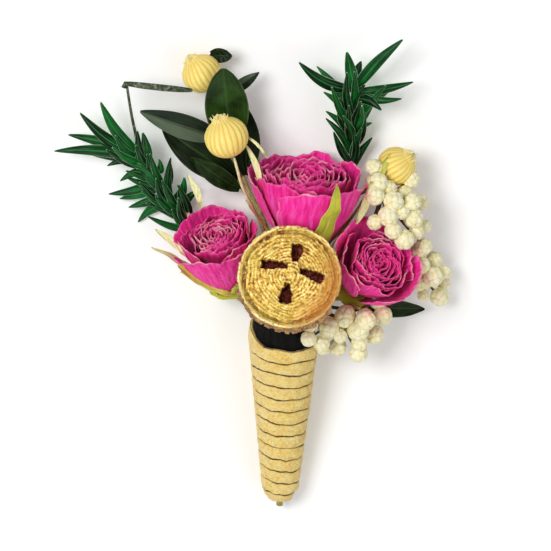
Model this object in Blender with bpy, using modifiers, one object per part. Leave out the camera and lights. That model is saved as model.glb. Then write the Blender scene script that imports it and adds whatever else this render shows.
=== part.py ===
"""A boutonniere of dried flowers, lying on its back.

Three roses, a gilded seed pod, rice flower, everlasting buds, rosemary and ruscus are bound into one
bundle of stems. The bundle is held by wire and floral tape and wound with a suede ribbon. X runs across
the flowers, Y from the ribbon handle up to the flowers, and Z up from the table towards the faces of
the flowers. The origin is on the table, under the middle of the whole piece.
"""

import math

import bmesh
import bpy
from mathutils import Matrix, Vector

# ---- Driving dimensions, in millimetres ---------------------------------------------------------
MM = 0.001
GAP = 0.3  # clearance between neighbouring solids
REST_OFFSET = Vector((-0.83, 2.26, -0.27))  # puts the origin under the middle of the piece

HANDLE_TIP = Vector((8.4, -68.3, 5.0))  # centre of the wound handle's lower end
HANDLE_TOP = Vector((9.5, -17.9, 14.5))  # centre of its upper end
HANDLE_TIP_RADIUS = 4.9
HANDLE_TOP_RADIUS = 10.0
RIBBON_TURNS = 12
RIBBON_THICKNESS = 0.9
RIBBON_SEAM = 0.12  # gap between one turn and the next
TAPE_THICKNESS = 0.5
TAPE_COLLAR = 5.0  # how far the floral tape stands out above the ribbon
WIRE_RADIUS = 0.25

HANDLE_AXIS = (HANDLE_TOP - HANDLE_TIP).normalized()
HANDLE_LENGTH = (HANDLE_TOP - HANDLE_TIP).length
TAPE_OUTSIDE = RIBBON_THICKNESS + 0.35  # the tape's depth below the ribbon's outer face
STEM_BORE = TAPE_OUTSIDE + TAPE_THICKNESS  # the depth of the room left for the stems

MIDDLE, INNER_RING, OUTER_RING = 0, 1, 2  # where a stem stands in the handle
INNER_RING_TIP = 2.12  # radius of the inner circle of stems at the handle's tip
INNER_RING_TOP = 3.25
OUTER_RING_SHARE = 0.80  # the outer circle, as a share of the room in the handle

PETAL_THICKNESS = 0.45
PETAL_STEP = 0.8  # spacing of the petal layers
GUARD_PETALS = 5
HIP_LENGTH = 5.0
HIP_RIM = 1.5  # how far the hip's rim stands out past the petal feet

POD_RADIUS = 14.2
POD_DEPTH = 15.0

# ---- Materials ----------------------------------------------------------------------------------
COLOURS = {  # name: (red, green, blue), roughness, metallic
    "petal": ((0.80, 0.06, 0.36), 0.75, 0.0),
    "sepal": ((0.50, 0.55, 0.10), 0.75, 0.0),
    "stem": ((0.30, 0.28, 0.10), 0.8, 0.0),
    "gilt": ((0.80, 0.58, 0.18), 0.4, 0.8),
    "rice_flower": ((0.88, 0.83, 0.58), 0.8, 0.0),
    "bud": ((0.90, 0.68, 0.25), 0.6, 0.0),
    "rosemary": ((0.03, 0.20, 0.06), 0.5, 0.0),
    "ruscus": ((0.03, 0.08, 0.03), 0.5, 0.0),
    "suede": ((0.80, 0.58, 0.28), 0.9, 0.0),
    "tape": ((0.01, 0.015, 0.015), 0.7, 0.0),
    "wire": ((0.05, 0.10, 0.04), 0.4, 0.6),
}


def material(name):
    found = bpy.data.materials.get(name)
    if found:
        return found
    colour, roughness, metallic = COLOURS[name]
    made = bpy.data.materials.new(name)
    made.use_nodes = True
    shader = made.node_tree.nodes["Principled BSDF"]
    shader.inputs["Base Color"].default_value = (*colour, 1.0)
    shader.inputs["Roughness"].default_value = roughness
    shader.inputs["Metallic"].default_value = metallic
    made.diffuse_color = (*colour, 1.0)
    return made


# ---- Scene --------------------------------------------------------------------------------------
def clear_scene():
    for old in list(bpy.data.objects):
        bpy.data.objects.remove(old)


def new_collection(name, helper=False):
    made = bpy.data.collections.new(name)
    bpy.context.scene.collection.children.link(made)
    made.hide_render = helper
    return made


clear_scene()
PARTS = new_collection("boutonniere")
HELPERS = new_collection("helpers", helper=True)
ROOT = bpy.data.objects.new("boutonniere_frame", None)
PARTS.objects.link(ROOT)
ROOT.location = REST_OFFSET * MM
UNIONS = []  # (body, collection of what it is joined to)


def place(obj, slot):
    """Puts a finished piece in the part's collection, with its material, under the root."""
    PARTS.objects.link(obj)
    obj.parent = ROOT
    obj.data.materials.append(material(slot))
    return obj


def helper(obj):
    """A shape that another one is joined to or cut by. It is left out of renders."""
    HELPERS.objects.link(obj)
    obj.hide_render = True
    obj.display_type = "WIRE"
    obj.parent = ROOT
    return obj


# ---- Shapes -------------------------------------------------------------------------------------
def basis(axis, right=Vector((1, 0, 0))):
    """(across, towards the viewer, along axis), unit and square to each other."""
    along = Vector(axis).normalized()
    across = (right - along * right.dot(along)).normalized()
    return across, across.cross(along), along


def matrix_of(origin, axis, right=Vector((1, 0, 0))):
    """Carries local X across, local Y away from the viewer and local Z along the axis."""
    across, front, along = basis(axis, right)
    turned = Matrix((across, -front, along)).transposed().to_4x4()
    return Matrix.Translation(Vector(origin) * MM) @ turned


def mesh_object(name, points, faces, smooth=True):
    mesh = bpy.data.meshes.new(name)
    mesh.from_pydata([Vector(p) * MM for p in points], [], faces)
    if smooth:
        mesh.shade_smooth()
    return bpy.data.objects.new(name, mesh)


def sheet(name, rows, thickness):
    """A curved sheet through rows of points, given a thickness on both sides of it."""
    wide = len(rows[0])
    points = [p for row in rows for p in row]
    faces = [
        (r * wide + c, r * wide + c + 1, (r + 1) * wide + c + 1, (r + 1) * wide + c)
        for r in range(len(rows) - 1)
        for c in range(wide - 1)
    ]
    made = mesh_object(name, points, faces)
    solid = made.modifiers.new("thickness", "SOLIDIFY")
    solid.thickness = thickness * MM
    solid.offset = 0.0
    return made


def turned(name, profile, steps):
    """A solid of revolution about local Z. The profile runs from the top down its outer side."""
    points = [(r, 0.0, z) for r, z in profile]
    made = mesh_object(name, points, [])
    made.data.clear_geometry()
    made.data.from_pydata([Vector(p) * MM for p in points], [(i, i + 1) for i in range(len(points) - 1)], [])
    screw = made.modifiers.new("turn", "SCREW")
    screw.steps = steps
    screw.render_steps = steps
    screw.use_merge_vertices = True
    screw.merge_threshold = 0.00001
    screw.use_smooth_shade = True
    return made


def smooth_route(points, start_way, end_way, spacing):
    """Points along a smooth curve that passes through the given ones and keeps its end directions."""
    knots = [Vector(p) for p in points]
    spans = [(b - a).length for a, b in zip(knots, knots[1:])]
    ways = [Vector(start_way).normalized()]
    for i in range(1, len(knots) - 1):
        before, after = spans[i - 1], spans[i]
        slope = (knots[i] - knots[i - 1]) / before * after + (knots[i + 1] - knots[i]) / after * before
        ways.append(slope / (before + after))
    ways.append(Vector(end_way).normalized())
    route = [knots[0]]
    for i, span in enumerate(spans):
        steps = max(2, math.ceil(span / spacing))
        for k in range(1, steps + 1):
            t = k / steps
            route.append(
                knots[i] * (1 + 2 * t) * (1 - t) ** 2
                + ways[i] * (span * t * (1 - t) ** 2)
                + knots[i + 1] * (3 - 2 * t) * t**2
                - ways[i + 1] * (span * t**2 * (1 - t))
            )
    return route


def tube(name, route, radius, end_radius=None, sides=6):
    """A round stem along a route, tapering to end_radius."""
    curve = bpy.data.curves.new(name, "CURVE")
    curve.dimensions = "3D"
    curve.bevel_depth = radius * MM
    curve.bevel_resolution = sides // 2 - 2
    curve.use_fill_caps = True
    spline = curve.splines.new("POLY")
    spline.points.add(len(route) - 1)
    taper = (end_radius or radius) / radius
    for i, (point, place_on) in enumerate(zip(spline.points, route)):
        point.co = (*(place_on * MM), 1.0)
        point.radius = 1 + (taper - 1) * i / (len(route) - 1)
    return bpy.data.objects.new(name, curve)


def as_mesh(obj):
    """Turns an object that isn't linked yet into a welded mesh with its modifiers applied."""
    bpy.context.scene.collection.objects.link(obj)
    graph = bpy.context.evaluated_depsgraph_get()
    mesh = bpy.data.meshes.new_from_object(obj.evaluated_get(graph))
    name, matrix = obj.name, obj.matrix_world.copy()
    bpy.data.objects.remove(obj)
    work = bmesh.new()
    work.from_mesh(mesh)
    bmesh.ops.remove_doubles(work, verts=work.verts, dist=0.00001)
    work.to_mesh(mesh)
    work.free()
    made = bpy.data.objects.new(name, mesh)
    made.matrix_world = matrix
    return made


def joined(name, first, others):
    """One body made of a first mesh and all the others, which are kept as helpers."""
    group = bpy.data.collections.new(name + "_branches")
    HELPERS.children.link(group)
    for other in others:
        group.objects.link(other)
        other.hide_render = True
        other.display_type = "WIRE"
        other.parent = ROOT
    first.name = name
    UNIONS.append((first, group))
    return first


def join_all():
    """Adds the unions once every shape is made, so that none of them is worked out twice."""
    for body, group in UNIONS:
        union = body.modifiers.new("branches", "BOOLEAN")
        union.operation = "UNION"
        union.solver = "EXACT"
        union.operand_type = "COLLECTION"
        union.collection = group


def ball(name, centre, radius, around=7, rings=5):
    work = bmesh.new()
    bmesh.ops.create_uvsphere(work, u_segments=around, v_segments=rings, radius=radius * MM)
    bmesh.ops.translate(work, verts=work.verts, vec=Vector(centre) * MM)
    mesh = bpy.data.meshes.new(name)
    work.to_mesh(mesh)
    work.free()
    return bpy.data.objects.new(name, mesh)


# ---- The handle ---------------------------------------------------------------------------------
def handle_radius(share):
    """The ribbon's outer radius, from 0 at the tip to 1 at the top."""
    return HANDLE_TIP_RADIUS + (HANDLE_TOP_RADIUS - HANDLE_TIP_RADIUS) * share


def handle_point(share, radius, angle):
    across, front, _ = basis(HANDLE_AXIS)
    centre = HANDLE_TIP + HANDLE_AXIS * (HANDLE_LENGTH * share)
    return centre + (across * math.cos(angle) + front * math.sin(angle)) * radius


def suede_ribbon():
    """One flat strip wound down the handle, from left to right across its face."""
    per_turn = 20
    pitch = 1.0 / (RIBBON_TURNS + 1)
    strip = pitch - RIBBON_SEAM / HANDLE_LENGTH
    points, faces = [], []
    stations = RIBBON_TURNS * per_turn + 1
    for i in range(stations):
        turn = i / per_turn
        angle = math.radians(200) - 2 * math.pi * turn
        high = 1.0 - pitch * turn
        low = high - strip
        for share, depth in ((high, 0), (high, RIBBON_THICKNESS), (low, RIBBON_THICKNESS), (low, 0)):
            points.append(handle_point(share, handle_radius(share) - depth, angle))
        if i:
            a, b = 4 * (i - 1), 4 * i
            faces += [(a + k, b + k, b + (k + 1) % 4, a + (k + 1) % 4) for k in range(4)]
    last = 4 * (stations - 1)
    faces += [(0, 1, 2, 3), (last + 3, last + 2, last + 1, last)]
    place(mesh_object("suede_ribbon", points, faces, smooth=False), "suede")


def floral_tape():
    """The taped sleeve under the ribbon, open at both ends, with the collar that shows above it."""
    steps = 24
    low, top = 0.01, 1.0 + TAPE_COLLAR / HANDLE_LENGTH
    outer_low = handle_radius(low) - TAPE_OUTSIDE
    outer_top = handle_radius(1.0) - TAPE_OUTSIDE
    rim = (1.0 - low) * HANDLE_LENGTH
    height = (top - low) * HANDLE_LENGTH
    profile = [
        (outer_top - TAPE_THICKNESS, height),
        (outer_top, height),
        (outer_top, rim),
        (outer_low, 0.0),
        (outer_low - TAPE_THICKNESS, 0.0),
        (outer_top - TAPE_THICKNESS, rim),
        (outer_top - TAPE_THICKNESS, height),
    ]
    sleeve = turned("floral_tape", profile, steps)
    sleeve.matrix_world = matrix_of(HANDLE_TIP + HANDLE_AXIS * (low * HANDLE_LENGTH), HANDLE_AXIS)
    matrix = sleeve.matrix_world.copy()
    place(sleeve, "tape").matrix_local = matrix


def binding_wire():
    """Three turns of florist's wire round the stems, just inside the top of the tape."""
    turns, per_turn, pitch = 3, 12, 0.75
    start = 1.0 - 6.0 / HANDLE_LENGTH
    radius = handle_radius(start) - STEM_BORE - WIRE_RADIUS - 0.2
    route = []
    for i in range(turns * per_turn + 1):
        angle = 2 * math.pi * i / per_turn
        route.append(handle_point(start - pitch * i / per_turn / HANDLE_LENGTH, radius, angle))
    place(tube("binding_wire", route, WIRE_RADIUS), "wire")


# ---- Stems --------------------------------------------------------------------------------------
def in_bundle(ring, angle, foot):
    """The straight stretch of a stem in the handle, from foot (0 at the tip) to the tape's collar."""
    top = 1.0 + TAPE_COLLAR / HANDLE_LENGTH
    turned_by = math.radians(angle)
    ends = []
    for share in (foot, top):
        inner = INNER_RING_TIP + (INNER_RING_TOP - INNER_RING_TIP) * share
        outer = (handle_radius(min(share, 1.0)) - STEM_BORE) * OUTER_RING_SHARE
        ends.append(handle_point(share, (0.0, inner, outer)[ring], turned_by))
    return ends


def stem_route(ring, angle, foot, waypoints, end, end_way, spacing=4.5):
    low, high = in_bundle(ring, angle, foot)
    bend = smooth_route([high, *waypoints, end], high - low, end_way, spacing)
    return [low, *bend]


def stem(name, route, radius, slot="stem"):
    place(tube(name, route, radius), slot)


# ---- Roses --------------------------------------------------------------------------------------
class Rose:
    """A dried rose: its place, the way it faces and its size."""

    def __init__(self, name, base, axis, height, radius, foot, turn, sepals):
        self.name, self.base, self.height = name, Vector(base), height
        self.radius, self.foot, self.turn, self.sepals = radius, foot, turn, sepals
        self.across, self.front, self.axis = basis(axis)

    def reach(self, h):
        """Radius of the outermost petal layer at height h over the hip."""
        u = min(max(h / self.height, 0.0), 1.0)
        return self.foot + (self.radius - self.foot) * (1 - (1 - u) ** 1.8)

    def point(self, h, radius, angle):
        way = self.across * math.cos(angle) + self.front * math.sin(angle)
        return self.base + self.axis * h + way * radius

    def stem_end(self):
        return self.base - self.axis * (HIP_LENGTH + PETAL_THICKNESS / 2 + 2 * GAP + 0.4)


def guard_petal(rose, index):
    """One of the five outer petals, each a layer inside the last."""
    across, along = 6, 5
    middle = math.radians(rose.turn + index * 144)
    half = math.radians(66 - 2 * index)
    layer = index * PETAL_STEP
    curl = 1.6 * (1 - index / GUARD_PETALS)
    rows = []
    for j in range(along + 1):
        s = j / along
        row = []
        for i in range(across + 1):
            t = 2 * i / across - 1
            h = rose.height * s * (1 - 0.16 * t * t)
            angle = middle + t * half * (0.75 + 0.25 * math.sin(math.pi * min(s, 0.8)))
            ripple = 0.35 * s * s * math.sin(5 * angle)
            lip = curl * max(0.0, s - 0.7) ** 2 / 0.09
            row.append(rose.point(h, rose.reach(h) - layer + lip + ripple, angle))
        rows.append(row)
    made = sheet(f"{rose.name}_petal_{index + 1}", rows, PETAL_THICKNESS)
    place(made, "petal")


def petal_heart(rose):
    """The tightly rolled inner petals, as one closed form with a dimpled crown."""
    inset = GUARD_PETALS * PETAL_STEP
    height = rose.height
    profile = [(0.0, 0.86 * height), (0.16 * rose.radius, 0.90 * height)]
    profile.append((0.42 * rose.radius, 0.95 * height))
    for u in (0.85, 0.6, 0.35, 0.15, 0.0):
        profile.append((rose.reach(u * height) - inset - 0.35, u * height))
    profile.append((0.0, 0.0))
    heart = turned(f"{rose.name}_heart", profile, 14)
    matrix = matrix_of(rose.base, rose.axis)
    place(heart, "petal").matrix_local = matrix


def sepal_sheet(rose, number, angle, length, width, spread):
    """A pointed sepal that climbs the outside of the bloom and leaves it by spread at the tip."""
    along = 5
    rows = []
    for j in range(along + 1):
        s = j / along
        h = -1.4 + (length + 1.4) * s
        radius = rose.reach(max(h, 0.0)) + 1.0 + spread * s * s
        if h > 0.7 * rose.height:
            radius += 1.4
        half = width / 2 * (1 - s) ** 0.8 * (0.8 + 0.8 * s) + 0.22
        rows.append(
            [rose.point(h, radius, math.radians(angle) + side * half / radius) for side in (-1, 0, 1)]
        )
    return as_mesh(sheet(f"{rose.name}_sepal_{number}", rows, 0.5))


def calyx(rose):
    """The green hip under the petals with its five sepals, grown as one piece."""
    rim = rose.foot + HIP_RIM
    top = -GAP - PETAL_THICKNESS / 2
    profile = [(0.0, top), (rim - 0.5, top), (rim, top - 0.6), (0.80 * rim, top - 2.0)]
    profile += [(0.45 * rim, top - 3.6), (1.4, top - HIP_LENGTH), (0.0, top - HIP_LENGTH)]
    hip = turned(f"{rose.name}_hip", profile, 14)
    hip.matrix_world = matrix_of(rose.base, rose.axis)
    hip = as_mesh(hip)
    matrix = matrix_of(rose.base, rose.axis)
    others = [sepal_sheet(rose, i + 1, *each) for i, each in enumerate(rose.sepals)]
    body = joined(f"{rose.name}_calyx", hip, others)
    place(body, "sepal").matrix_local = matrix


ROSES = (
    Rose("rose_centre", (15.0, 8.3, 13.8), (0.04, 0.976, 0.209), 21.5, 16.3, 6.0, 60,
         ((66, 25, 7.5, 0.5), (172, 13, 4.5, 1.5), (228, 21, 4.5, 3.0), (290, 10, 5.0, 0.5), (2, 14, 5.0, 0.5))),
    Rose("rose_left", (-5.4, -3.4, 9.6), (-0.224, 0.850, 0.477), 18.5, 12.4, 5.4, 100,
         ((148, 12, 6.0, 1.0), (186, 15, 4.5, 5.0), (236, 19, 5.5, 1.0), (72, 7, 5.0, 0.5), (318, 8, 4.5, 0.5))),
    Rose("rose_right", (29.7, -4.3, 13.3), (0.406, 0.567, 0.717), 17.0, 12.5, 5.2, 250,
         ((165, 9, 5.0, 0.5), (95, 4.5, 4.5, 0.2), (20, 9, 4.5, 0.5), (250, 5, 4.5, 0.3), (310, 5, 4.5, 0.3))),
)


# ---- Gilded pod ---------------------------------------------------------------------------------
POD_FACE = Vector((10.9, 3.3, 36.4))
POD_AXIS = Vector((-0.05, 0.38, 0.92)).normalized()
POD_SLITS = (  # x and y of its middle on the lid, length, width, angle
    (-4.0, 3.2, 7.4, 2.2, 176),
    (2.0, 6.5, 5.2, 2.8, 84),
    (6.1, 0.3, 6.8, 2.4, -22),
    (-1.0, -4.8, 5.4, 3.2, 262),
)


def seed_pod():
    """The woody cup of the pod with its domed lid, cut by four valve slits."""
    profile = [(0.0, 0.5), (6.0, 0.3), (11.4, -0.2), (12.5, -0.8), (13.2, -0.5), (13.8, 0.0), (14.2, -0.7)]
    profile += [(13.6, -2.6), (11.8, -6.4), (8.2, -10.6), (4.6, -13.2), (2.4, -14.6), (1.6, -15.0), (0.0, -15.0)]
    pod = turned("seed_pod", profile, 28)
    matrix = matrix_of(POD_FACE, POD_AXIS)
    for number, (x, y, length, width, angle) in enumerate(POD_SLITS):
        work = bmesh.new()
        bmesh.ops.create_cube(work, size=1.0)
        bmesh.ops.scale(work, vec=Vector((length, width, 10.0)) * MM, verts=work.verts)
        for vert in work.verts:
            if vert.co.x < 0:
                vert.co.y *= 0.45
        mesh = bpy.data.meshes.new(f"pod_slit_{number + 1}")
        work.to_mesh(mesh)
        work.free()
        cutter = helper(bpy.data.objects.new(f"pod_slit_{number + 1}", mesh))
        middle = Matrix.Translation(Vector((x, y, 0)) * MM)
        cutter.matrix_local = matrix @ middle @ Matrix.Rotation(math.radians(angle), 4, "Z")
        cut = pod.modifiers.new(f"slit_{number + 1}", "BOOLEAN")
        cut.operation = "DIFFERENCE"
        cut.solver = "EXACT"
        cut.object = cutter
    place(pod, "gilt").matrix_local = matrix


# ---- Everlasting buds ---------------------------------------------------------------------------
BUDS = (  # name, centre, axis, radius
    ("bud_top", Vector((-13.4, 54.9, 7.5)), Vector((-0.573, 0.797, 0.178)), 5.5),
    ("bud_left", Vector((-6.4, 38.6, 18.0)), Vector((-0.335, 0.93, 0.15)), 6.0),
    ("bud_right", Vector((40.9, 29.5, 12.0)), Vector((0.72, 0.618, 0.308)), 5.4),
)
BUD_FLATNESS = 0.95  # half the bud's height as a share of its radius


def everlasting_bud(name, centre, axis, radius):
    """A closed papery bud: a ribbed ball drawn up to a small point."""
    around, rings, ribs = 16, 8, 8
    work = bmesh.new()
    bmesh.ops.create_uvsphere(work, u_segments=around, v_segments=rings, radius=radius)
    for vert in work.verts:
        x, y, z = vert.co
        angle, up = math.atan2(y, x), z / radius
        swell = 1 + 0.05 * math.cos(ribs * angle) * (1 - up * up)
        point = 1 + 0.22 * max(0.0, up) ** 6
        vert.co = Vector((x * swell, y * swell, z * BUD_FLATNESS * point)) * MM
    mesh = bpy.data.meshes.new(name)
    work.to_mesh(mesh)
    work.free()
    mesh.shade_smooth()
    place(bpy.data.objects.new(name, mesh), "bud").matrix_local = matrix_of(centre, axis)


def bud_foot(centre, axis, radius):
    """Where the stem meets the bud."""
    return centre - axis.normalized() * (radius * BUD_FLATNESS + GAP)


# ---- Rice flower --------------------------------------------------------------------------------
RICE = {  # sprig: stem route, then heads as (x, y, z, radius)
    "rice_flower_upper": (
        (OUTER_RING, 325, 0.55, [(20, -7, 3.5), (29.5, 3, 2.0), (35, 13, 3.0)], (37, 20, 10), (0.2, 0.3, 1)),
        ((34.6, 22.8, 21, 2.4), (35.6, 26.0, 19, 2.4), (38.4, 24.0, 17.5, 2.2), (39.8, 21.2, 21, 2.5),
         (38.3, 17.2, 22, 2.5), (42.0, 18.2, 20, 2.1), (45.4, 15.8, 18, 2.5), (43.2, 22.2, 15, 2.1),
         (42.8, 10.6, 22, 2.5), (47.8, 19.2, 12, 2.0), (39.6, 13.4, 23.5, 2.1), (48.4, 12.6, 13, 2.0),
         (48.6, 7.2, 14.5, 2.1)),
    ),
    "rice_flower_right": (
        (OUTER_RING, 345, 0.55, [(19.3, -10.6, 7.0), (29, -10, 1.8), (40, -6, 2.2)], (48, -2.5, 6), (0.6, 0.3, 1)),
        ((48.3, 1.6, 14, 2.0), (51.4, -1.9, 13, 2.5), (47.6, -4.0, 12, 1.9), (52.0, 2.2, 8.5, 2.0),
         (54.9, -1.6, 8, 1.8), (53.7, -8.9, 7, 2.4), (49.0, -8.2, 8.5, 1.5), (55.0, -5.6, 4, 1.7)),
    ),
    "rice_flower_lower": (
        (OUTER_RING, 38, 0.55, [(19.5, -11.5, 17.5)], (24.5, -13, 15.0), (1, -0.4, -0.1)),
        ((26.8, -10.8, 21.5, 2.4), (32.2, -11.9, 24, 2.5), (26.3, -11.6, 22, 2.5), (21.9, -14.2, 23, 2.6),
         (30.2, -15.2, 22, 2.7), (35.0, -17.8, 16, 2.4), (37.2, -12.4, 16, 2.4), (24.6, -21.0, 17.5, 2.2),
         (30.5, -23.0, 17, 2.3), (32.0, -11.4, 20, 1.9), (20.0, -18.6, 24, 2.0), (16.4, -16.8, 25.6, 2.0)),
    ),
}
RICE_STALK = 0.38


def rice_flower(name, trunk, heads):
    """A branching stem with round flower heads, grown as one piece."""
    route = stem_route(*trunk)
    body = as_mesh(tube(name + "_stem", route, 0.6, 0.5))
    fork = route[-1]
    others = []
    for i, (x, y, z, radius) in enumerate(heads):
        centre = Vector((x, y, z))
        half_way = fork.lerp(centre, 0.5) + Vector((0, 0, 0.8))
        stalk = tube(f"{name}_stalk_{i + 1}", [fork, half_way, centre], RICE_STALK, sides=4)
        others.append(as_mesh(stalk))
        others.append(ball(f"{name}_head_{i + 1}", centre, radius))
    place(joined(name, body, others), "rice_flower")


# ---- Leaves -------------------------------------------------------------------------------------
def blade(name, base, tip, width, bow, thickness, along=6, fold=0.12, face=Vector((0, 0, 1))):
    """A leaf from base to tip, widest in its middle. bow lifts its middle and fold raises its edges."""
    base, tip = Vector(base), Vector(tip)
    way = (tip - base).normalized()
    side = way.cross(face).normalized()
    up = side.cross(way)
    length = (tip - base).length
    rows = []
    for j in range(along + 1):
        s = j / along
        centre = base + way * (length * s) + up * (bow * 4 * s * (1 - s))
        half = width / 2 * math.sin(math.pi * (0.06 + 0.90 * s)) ** 0.85
        row = []
        for t in (-1.0, -0.5, 0.0, 0.5, 1.0) if width > 4 else (-1.0, 0.0, 1.0):
            row.append(centre + side * (half * t) + up * (fold * width * t * t))
        rows.append(row)
    return sheet(name, rows, thickness)


RUSCUS_LEAVES = (  # name, base, tip, width, bow
    ("ruscus_leaf_upright", (-5.6, 37.0, 8.0), (-7.3, 57.4, 14.5), 12.2, 1.2),
    ("ruscus_leaf_top", (-8.0, 56.8, 4.3), (-3.5, 61.2, 8.0), 4.8, 0.4),
    ("ruscus_leaf_small", (-6.3, 48.8, 5.6), (2.6, 55.4, 8.0), 3.4, 0.4),
    ("ruscus_leaf_left", (-7.2, 36.6, 7.2), (-30.5, 45.0, 11.6), 7.0, 1.5),
    ("ruscus_leaf_dark", (-3.4, 24.4, 4.2), (-24.4, 39.6, 7.5), 10.5, 0.8),
    ("ruscus_leaf_olive", (-3.0, 21.6, 4.9), (-16.4, 31.8, 11.0), 5.6, 1.5),
    ("ruscus_leaf_back", (-1.2, 25.6, 4.6), (-1.0, 45.0, 6.0), 8.0, 0.5),
)
RUSCUS_STEM = [(7.4, -5, 5.0), (6.2, 4, 3.4), (3.6, 13, 2.8), (-1, 22, 3), (-4.5, 33, 4.4), (-6.6, 45, 5)]


def ruscus():
    route = stem_route(INNER_RING, 270, 0.0, RUSCUS_STEM, (-8.2, 55.4, 4.0), (-0.2, 1, 0))
    stem("ruscus_stem", route, 0.7, "ruscus")
    for name, base, tip, width, bow in RUSCUS_LEAVES:
        place(blade(name, base, tip, width, bow, 0.4), "ruscus")


def lower_leaf():
    """A loose leaf low on the right, grown in one piece with its stalk."""
    base, tip = Vector((33.5, -12.6, 4.6)), Vector((49.6, -12.8, 5.2))
    waypoints = [(19.5, -11.0, 11.8), (26, -12.6, 5.8)]
    route = stem_route(OUTER_RING, 8, 0.6, waypoints, base + Vector((1.2, 0, 0)), (1, 0, 0))
    stalk = as_mesh(tube("lower_leaf_stalk", route, 0.5))
    leaf = as_mesh(blade("lower_leaf_blade", base, tip, 5.0, 0.5, 0.5))
    place(joined("lower_leaf", stalk, [leaf]), "ruscus")


# ---- Rosemary -----------------------------------------------------------------------------------
BROKEN_SHOOT = [(-31, 31.5, 7.6), (-31.6, 36, 9), (-32.9, 44, 12), (-34.0, 53.0, 14.5)]
BROKEN_SHOOT_TIP = (-15.8, 51.2, 14.8)
ROSEMARY = {  # sprig: stem, then leaves as base and tip
    "rosemary_left": (
        (INNER_RING, 210, 0.0, [(0.6, -5.6, 4.7), (-9, 4.4, 1.0), (-17.5, 11, 1.8), (-25, 22.5, 5)],
         (-32.5, 34, 8), (-0.5, 0.8, 0.2)),
        (((-31, 32, 8), (-41.5, 47.5, 12)), ((-31, 32, 8), (-47.5, 44, 9)), ((-31, 31, 7.4), (-51.0, 37.5, 7)),
         ((-31, 31, 7.4), (-54.9, 33.0, 8)), ((-30, 30, 7), (-45.5, 31.5, 4)), ((-29.5, 29, 7), (-40, 29, 9)),
         ((-29, 28, 7), (-30.0, 38.5, 10)), ((-27.5, 26, 6.5), (-25.5, 31, 9.5)), ((-28, 27, 6.4), (-36.5, 24.5, 8)),
         ((-26, 24, 5.6), (-40, 20.2, 5)), ((-25, 22.5, 5.2), (-37.0, 18.4, 2.5)), ((-23, 19.5, 4.2), (-34.5, 16.0, 3)),
         ((-24, 21, 5), (-22.4, 30, 9)), ((-21.5, 17, 3.6), (-32, 11.5, 1.5)), ((-22, 18, 4), (-18.5, 25.5, 8)),
         ((-20, 15, 3), (-14.8, 21.2, 4))),
    ),
    "rosemary_right": (
        (INNER_RING, 330, 0.0, [(15, -5, 5.5), (20.5, 3, 2.6), (25.6, 13, 1.8), (28.4, 24, 2.4), (28.6, 34, 4.5)],
         (29.2, 51.5, 10), (0.05, 1, 0.3)),
        (((29, 50.5, 10), (13.6, 58.5, 11)), ((29, 50.5, 10), (26.9, 61.5, 12)), ((29, 50.5, 10), (31, 58.5, 8)),
         ((29, 50.5, 10), (42.3, 65.2, 14)), ((29.1, 50, 10), (45.5, 52.8, 10)), ((29.1, 50, 10), (42.2, 48.6, 13)),
         ((29, 48, 9), (36.4, 45.5, 14)), ((28.9, 47, 9), (39.8, 50.5, 6)), ((28.6, 42, 7.5), (18.6, 57, 8)),
         ((28.6, 40, 7), (20.5, 50.0, 10)), ((28.5, 36, 5.6), (21.2, 44.2, 7)), ((28.7, 44, 8), (32, 52.5, 13)),
         ((28.6, 38, 6.4), (34.5, 46.5, 9)), ((28.6, 35, 5.4), (34.2, 41, 8)), ((28.6, 36, 5.8), (27.5, 46.2, 10.5))),
    ),
}


def broken_shoot():
    """A thin shoot of the left sprig that snapped over at the top, where its leaf hangs across."""
    knee = Vector(BROKEN_SHOOT[-1])
    stalk = tube("broken_shoot", [Vector(p) for p in BROKEN_SHOOT], 0.5, 0.4)
    leaf = blade("broken_shoot_leaf", knee + Vector((-0.5, 0.1, 0)), BROKEN_SHOOT_TIP, 2.6, 0.8, 0.6, fold=0.05)
    return [as_mesh(stalk), as_mesh(leaf)]


def rosemary(name, trunk, leaves):
    """A woody stem with narrow leathery leaves, grown as one piece."""
    body = as_mesh(tube(name + "_stem", stem_route(*trunk, spacing=6), 0.8, 0.6))
    others = broken_shoot() if name == "rosemary_left" else []
    for i, (base, tip) in enumerate(leaves):
        others.append(as_mesh(blade(f"{name}_leaf_{i + 1}", base, tip, 2.8, 0.9, 0.7, along=4, fold=0.1)))
    place(joined(name, body, others), "rosemary")


# ---- Assembly -----------------------------------------------------------------------------------
def roses():
    for rose in ROSES:
        calyx(rose)
        petal_heart(rose)
        for index in range(GUARD_PETALS):
            guard_petal(rose, index)
    centre, left, right = ROSES
    stem("rose_centre_stem", stem_route(MIDDLE, 0, -0.03, [], centre.stem_end(), centre.axis), 0.85)
    route = stem_route(INNER_RING, 150, 0.0, [(3.0, -10.5, 12.0)], left.stem_end(), left.axis)
    stem("rose_left_stem", route, 0.85)
    route = stem_route(INNER_RING, 30, 0.0, [(18.8, -9.2, 13.4)], right.stem_end(), right.axis)
    stem("rose_right_stem", route, 0.85)


def pod_and_stem():
    seed_pod()
    end = POD_FACE - POD_AXIS * (POD_DEPTH + 2 * GAP)
    stem("seed_pod_stem", stem_route(INNER_RING, 90, 0.0, [], end, POD_AXIS), 0.85)


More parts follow.
